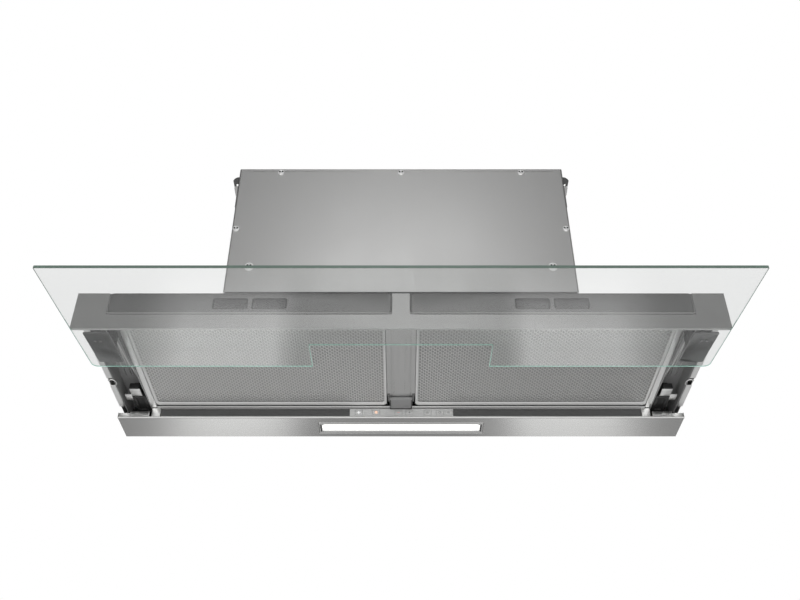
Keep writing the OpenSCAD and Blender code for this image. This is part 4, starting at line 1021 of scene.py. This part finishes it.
RIM_SIDE = 0.0041
RIM_END = 0.008
RIM_SHEET = 0.0005
RIM_CORNER = 0.007
RIM_CORNER_IN = 0.002
RIM_STEPS = 5
RIM_UNDER = (
    (1, 0.0011), (0.97, 0.0009), (0.5, 0.0005), (0.1, 0.0001), (0.03, 0.0003), (0, 0.001)
)
RIM_TOP = (
    (0, -0.0006), (0.08, 0), (0.9, 0), (1, -0.0004), (0.9, -RIM_SHEET), (0.17, -RIM_SHEET)
)
RIM_INSIDE = ((0.17, 0.0022), (0.5, 0.0011), (0.9, 0.0017))
TONGUE_L = 0.0056
TONGUE_UP = 0.0047
TONGUE_T = 0.0015
for side in ("left", "right"):
    body = "filter_" + side
    metal = expanded_metal(*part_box(body + "_mesh"))
    metal.piece(body + "_expanded_metal", body, "filter_metal", filter_metal, 25, body + "_mesh")
    fleece = fleece_pad(*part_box(body + "_pad"))
    fleece.piece(body + "_fleece", body, "filter_fleece", filter_fleece, 60, body + "_pad")

    low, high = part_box(body + "_frame")
    front = low.y + TONGUE_L
    profile = [(share, low.z + up) for share, up in RIM_UNDER]
    profile += [(share, high.z + up) for share, up in RIM_TOP]
    profile += [(share, low.z + up) for share, up in RIM_INSIDE]
    loops = []
    for share, z in profile:
        in_x = share * RIM_SIDE
        in_y = share * RIM_END
        radius = RIM_CORNER - share * RIM_CORNER_IN
        outline = rounded(low.x + in_x, front + in_y, high.x - in_x, high.y - in_y, radius, RIM_STEPS)
        loops.append([(x, y, z) for x, y in outline])
    rim = Skin().loft(loops, "joined")
    tongue_z = low.z + TONGUE_UP
    rim.block(
        (low.x + 2 * RIM_END, low.y, tongue_z),
        (high.x - 2 * RIM_END, front + RIM_SHEET, tongue_z + TONGUE_T), THIN_EDGE
    )
    rim.piece(body + "_rim", body, "filter_rim", filter_rim, 50, body + "_frame")

# Bridge and catch
# A pressed bridge of light steel runs between the filters, with two grooves along it.
# The dark grey catch at its back end turns down on a steel pin and lets both filters go.
# The bridge's ears are painted dark: painted shade that takes out the bright reflection they catch.
EAR_X = 0.0174
EAR_Y = -0.102
bridge_steel = rolled_steel("bridge_steel", (0.64, 0.64, 0.632), 0.3, "Y")
shader, place, tone = reopen(bridge_steel)
ear_shade = (abs(place.along("X")) > EAR_X) * (place.along("Y") > EAR_Y)
(ear_shade * 0.8).blend(tone, grey(0.15)).feed(shader, "Base Color")
wear(bridge_steel, "centre_bridge")
soften(THIN_EDGE, "centre_bridge")
catch_grey = moulded("catch_grey", grey(0.34), grey(0.39), 0.45)
finer("filter_catch", FOLD_EDGE, catch_grey, "catch")
wear(rail_steel, "catch_pin")

# A thin near-black border under the catch's sides and back: painted shadow along its edges.
OUTLINE_W = 0.0016
OUTLINE_BACK_W = 0.00256
OUTLINE_T = 0.0002
OUTLINE_EDGE = 0.00008
OUTLINE_IN = 0.0004
OUTLINE_ENDS = (0.002, 0.001)
catch_shade_outline = moulded("catch_shade_outline", grey(0.03), grey(0.05), 0.45)
low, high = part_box("filter_catch")
back = high.y - OUTLINE_IN
shadow_outline = Skin().blocks(
    (high.x - OUTLINE_IN, high.x - OUTLINE_W), (low.y + OUTLINE_ENDS[0], high.y - OUTLINE_ENDS[1]),
    (low.z - OUTLINE_T, low.z + OUTLINE_T), OUTLINE_EDGE
)
shadow_outline.block(
    (low.x + OUTLINE_IN, back - OUTLINE_BACK_W, low.z - OUTLINE_T),
    (high.x - OUTLINE_IN, back, low.z + OUTLINE_T), OUTLINE_EDGE
)
shadow_outline.piece("catch_shadow_outline", "catch", "catch_grey", catch_shade_outline)

# Light bar
# A brushed steel pan across the back with a bright folded lip, closed by a light steel cover.
# A dark grey trim strip fills the space above the lip. Light blocks, caps and small stops end it.
bar_steel = rolled_steel("bar_steel", (0.66, 0.66, 0.65), 0.15)
# The bar cover is light and only partly metal: a painted sheen stands in for the bright reflection along its
# edge.
cover_sheet_painted_sheen = rolled_steel("cover_sheet_painted_sheen", (0.8, 0.8, 0.79), 0.6, metal=0.35)
trim_grey = moulded("trim_grey", grey(0.1), grey(0.125), 0.5)
wear(bar_steel, "light_bar")
wear(cover_sheet_painted_sheen, "bar_cover")
wear(light_steel, "bar_ends")
wear(trim_grey, "bar_trim")
soften(SHEET_EDGE, "light_bar")
soften(THIN_EDGE, "bar_cover", "bar_ends")
soften(FINE_EDGE, "bar_trim")

ROLL_R = 0.0020
ROLL_IN = 0.0015
ROLL_SHEET = 0.0003
ROLL_ARC = range(155, 312, 13)
roll_steel = rolled_steel("roll_steel", (0.6, 0.6, 0.59), 0.34)
low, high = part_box("light_bar")
section = []
for r, arc in ((ROLL_R, ROLL_ARC), (ROLL_R - ROLL_SHEET, ROLL_ARC[::-1])):
    for angle in map(math.radians, arc):
        section.append((low.y + ROLL_IN + r * math.cos(angle), low.z + ROLL_IN + r * math.sin(angle)))
front_roll = Skin().loft([[(x, y, z) for y, z in section] for x in (low.x, high.x)])
front_roll.piece("bar_front_roll", "hood", "brushed_steel", roll_steel)

EDGE_R = 0.0013
EDGE_IN = 0.00117
EDGE_DROP = 0.0009
EDGE_END = 0.0004
# The edge roll is light and only partly metal as well: painted sheen for its reflection.
edge_roll_painted_sheen = rolled_steel("edge_roll_painted_sheen", (0.7, 0.7, 0.69), 0.45, metal=0.35)
low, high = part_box("bar_cover")
edge_l = high.x - low.x
edge_roll = Skin().turn(
    [(EDGE_R * 0.8, 0), (EDGE_R, EDGE_END), (EDGE_R, edge_l - EDGE_END), (EDGE_R * 0.8, edge_l)],
    (low.x, low.y + EDGE_IN, high.z - EDGE_DROP), (1, 0, 0), 20
)
edge_roll.piece("cover_edge_roll", "hood", "light_steel", edge_roll_painted_sheen)

STOP_X = (0.3985, 0.4290)
STOP_Y = (-0.0600, -0.0588)
STOP_Z = (0.0012, 0.0122)
stops = Skin().blocks(STOP_X, STOP_Y, STOP_Z, FINE_EDGE)
stops.piece("bar_end_stops", "hood", "light_steel", light_steel)

# Light
# A white diffuser in a bright frame that is let into the pan, over a board of white diodes.
# A bezel covers its back edge, and a fine slit runs down the frame at each end of it, drawn as a thin dark
# strip: painted shadow in the slit.
LENS_SHADE = (0.9, 0.9, 0.88, 1)
lens_rim = rolled_steel("lens_rim", (0.7, 0.7, 0.69), 0.3)
wear(lens_rim, "lens_frame")
soften(FINE_EDGE, "lens_frame")
diffuser, shader, place = finish("diffuser", Roughness=0.4, Emission_Strength=1.25, Base_Color=LENS_SHADE)
place.grain(0.02).blend((1.0, 0.995, 0.98), (1.0, 1.0, 0.99)).feed(shader, "Emission Color")
finer("light_lens", PRESS_EDGE, diffuser)

BEZEL_D = 0.0036
BEZEL_OUT = 0.0004
BEZEL_Z = (0.00005, 0.00055)
BEZEL_EDGE = 0.0002
SLIT_X = (0.1272, 0.1292)
SLIT_Z = (-0.00004, 0.0002)
SLIT_EDGE = 0.00003
low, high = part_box("light_lens")
bezel = Skin().block(
    (low.x, high.y - BEZEL_D, BEZEL_Z[0]), (high.x, high.y + BEZEL_OUT, BEZEL_Z[1]), BEZEL_EDGE
)
bezel.piece("lens_bezel", "hood", "lens_rim", filter_rim)
# Thin near-black strips: painted shadow in the slits at the ends of the lens.
slit_shadows = Skin().blocks(SLIT_X, (low.y, high.y), SLIT_Z, SLIT_EDGE)
slit_shadows.piece("lens_slit_shadows", "hood", "lens_rim", recess_shade_steel)
circuit_board = moulded("circuit_board", (0.02, 0.09, 0.045), (0.03, 0.13, 0.06), 0.4)
wear(circuit_board, "led_board", "control_board")

# Controls
# A light grey fascia in the trim strip with seven small push keys, each with its own mark.
# The light key glows white, the power key orange and the minus key a faint red.
MARK_T = 0.00006
LINE = 0.0003
FINE_LINE = 0.0002
LINE_APART = 0.0014
RAY = 0.0006
RAY_OUT = 0.0026
STROKE = 0.0018
RING_CORE = 0.00005
control_panel = moulded("control_panel", (0.74, 0.74, 0.735), (0.78, 0.78, 0.77), 0.35)
wear(control_panel, "control_fascia")
key_face = moulded("key_face", (0.75, 0.75, 0.745), (0.79, 0.79, 0.78), 0.33)
# In a mark, two sizes are a ring's radii, and four are a bar's place, half its width and half its height.
marks = {
    "light": [
        (RING_CORE, 0.0016), (0, RAY_OUT, LINE, RAY), (0, -RAY_OUT, LINE, RAY),
        (RAY_OUT, 0, RAY, LINE), (-RAY_OUT, 0, RAY, LINE)
    ],
    "power": [(0.0017, 0.0023), (RING_CORE, 0.0011), (0, 0.0018, LINE, 0.0010)],
    "minus": [(0, 0, STROKE, 0.0004)],
    "plus": [(0, 0, STROKE, LINE), (0, 0, LINE, STROKE)],
    "boost": [(0, z, STROKE, LINE) for z in (-LINE_APART, 0, LINE_APART)],
    "timer": [(0.0016, 0.0021), (0, 0.0007, FINE_LINE, 0.0007), (0.0005, 0, RAY, FINE_LINE)],
    "filter": [(x, 0, LINE, STROKE) for x in (-LINE_APART, 0, LINE_APART)],
}
glows = {
    "light": ((1.0, 1.0, 1.0), 0.6), "power": ((1.0, 0.62, 0.42), 0.8), "minus": ((0.85, 0.45, 0.42), 0.3)
}
unlit = (grey(0.26), 0.0)
for key, shapes in marks.items():
    node = "key_" + key
    finer(node, THIN_EDGE, key_face, node + "_body")
    low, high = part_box(node)
    middle_x = (low.x + high.x) / 2
    middle_z = (low.z + high.z) / 2
    colour, strength = glows.get(key, unlit)
    ink, shader, place = finish(node + "_ink", Roughness=0.4)
    print_tone = place.grain(0.001).blend(tinted(colour, 0.8), colour)
    print_tone.feed(shader, "Base Color")
    if strength:
        shader.inputs["Emission Strength"].default_value = strength
        print_tone.feed(shader, "Emission Color")
    mark = Skin()
    for shape in shapes:
        if len(shape) == 2:
            inner, outer = shape
            profile = [(inner, 0), (outer, 0), (outer, 2 * MARK_T), (inner, 2 * MARK_T)]
            mark.turn(profile, (middle_x, low.y + MARK_T, middle_z), (0, -1, 0), 28, "joined")
        else:
            x, z, half_w, half_h = shape
            mark.block(
                (middle_x + x - half_w, low.y - MARK_T, middle_z + z - half_h),
                (middle_x + x + half_w, low.y + MARK_T, middle_z + z + half_h), MARK_T / 3
            )
    mark.piece("mark_" + key, node + "_body", "key_face", ink)

# Studio
# A pale floor under the hood, a soft lamp in front of it and above, and a wide soft lamp low in
# front for the metal that faces down. The backdrop is white to the eye, and the glossy metal
# mirrors a grey room with soft panels and a bright pool painted on it.
FLOOR_Z = -1.75
FLOOR_HALF = 4.0
FLOOR_WHITE = 0.8
mesh = bpy.data.meshes.new("floor")
corners = [(x * FLOOR_HALF, y * FLOOR_HALF, FLOOR_Z) for x, y in ((-1, -1), (1, -1), (1, 1), (-1, 1))]
mesh.from_pydata(corners, [], [(0, 1, 2, 3)])
floor = bpy.data.objects.new("floor", mesh)
bpy.context.scene.collection.objects.link(floor)
floor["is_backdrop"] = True
floor_paint, shader, place = finish("floor_paint", Roughness=0.9)
place.grain(0.2).blend(grey(0.78), grey(0.82)).feed(shader, "Base Color")
floor.data.materials.append(floor_paint)


def rays(tree):
    """What looks at a surface: 1 for the eye, straight or through glass, and 1 for a glossy surface."""
    path = tree.nodes.new("ShaderNodeLightPath")
    eye = Wire(tree, path.outputs["Is Camera Ray"]) | Wire(tree, path.outputs["Is Transmission Ray"])
    return eye, Wire(tree, path.outputs["Is Glossy Ray"])


tree = floor_paint.node_tree
eye, gloss = rays(tree)
glow = eye.grow("Emission", {}, {"Color": (1, 1, 1, 1), "Strength": 1.0})
mixed = eye.grow("MixShader", {}, {0: eye * FLOOR_WHITE, 1: Wire(tree, shader.outputs[0]), 2: glow})
clear = eye.grow("BsdfTransparent", {}, {})
mixed = eye.grow("MixShader", {}, {0: gloss, 1: mixed, 2: clear})
mixed.feed(tree.nodes["Material Output"], "Surface")


def lamp(name, place, target, width, height, power):
    """A soft panel lamp that faces target."""
    light = bpy.data.lights.new(name, "AREA")
    light.shape = "RECTANGLE"
    light.size = width
    light.size_y = height
    light.energy = power
    body = bpy.data.objects.new(name, light)
    body.location = place
    body.rotation_euler = (Vector(target) - Vector(place)).to_track_quat("-Z", "Y").to_euler()
    body.visible_camera = False
    body.visible_transmission = False
    bpy.context.scene.collection.objects.link(body)


HOOD_MIDDLE = (0, -0.2, 0.1)
lamp("front_lamp", (0, -3.0, 1.8), HOOD_MIDDLE, 0.85, 0.8, 6.6)
lamp("low_fill", (0, -2.3, -1.3), HOOD_MIDDLE, 3.2, 1.7, 26)


def ramp(value, start, end):
    """Rises smoothly from 0 at start to 1 at end."""
    smooth = {"interpolation_type": "SMOOTHSTEP"}
    return value.grow("MapRange", smooth, {0: value, 1: start, 2: end, 3: 0.0, 4: 1.0})


# Each pair is where a soft edge starts and ends. Across and below are shares of the way back.
ROOM = 0.36
BEHIND = (0.0, 0.2)
PANEL_IN = (0.112, 0.15)
PANEL_OUT = (0.315, 0.24)
HIGH_PANEL_TOP = (0.33, 0.38)
HIGH_PANEL_FOOT = (0.555, 0.40)
HIGH_PANEL_GLOW = 1.35
LOW_PANEL_TOP = (0.53, 0.56)
LOW_PANEL_FOOT = (0.85, 0.7)
LOW_PANEL_GLOW = 0.75
POOL = (0.62, 0.86)
POOL_GLOW = 0.6
SHADE = (0.56, 0.47)
SHADE_DEPTH = 0.18
AHEAD = (0.0, 0.3)
AHEAD_DEPTH = 0.08
world = bpy.data.worlds.new("studio")
bpy.context.scene.world = world
world.use_nodes = True
tree = world.node_tree
eye, gloss = rays(tree)
toward = Wire(tree, tree.nodes.new("ShaderNodeTexCoord").outputs["Generated"])
behind = ramp(toward.along("Y"), *BEHIND)
across = abs(toward.along("X")) / toward.along("Y")
below = -toward.along("Z") / toward.along("Y")
sides = ramp(across, *PANEL_IN) * ramp(across, *PANEL_OUT)
high_panel = ramp(below, *HIGH_PANEL_TOP) * ramp(below, *HIGH_PANEL_FOOT) * HIGH_PANEL_GLOW
low_panel = ramp(below, *LOW_PANEL_TOP) * ramp(below, *LOW_PANEL_FOOT) * LOW_PANEL_GLOW
panels = behind * (sides * (high_panel + low_panel) - ramp(below, *SHADE) * SHADE_DEPTH)
pool = ramp(-toward.along("Z"), *POOL) * POOL_GLOW
ahead = ramp(-toward.along("Y"), *AHEAD) * ramp(toward.along("Z"), *AHEAD) * AHEAD_DEPTH
light = ROOM + (panels + pool - ahead) * gloss
((light | eye) * 0.5).blend((0, 0, 0), (2, 2, 2)).feed(tree.nodes["Background"], "Color")

bpy.context.scene.view_settings.view_transform = "Standard"

low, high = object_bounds()
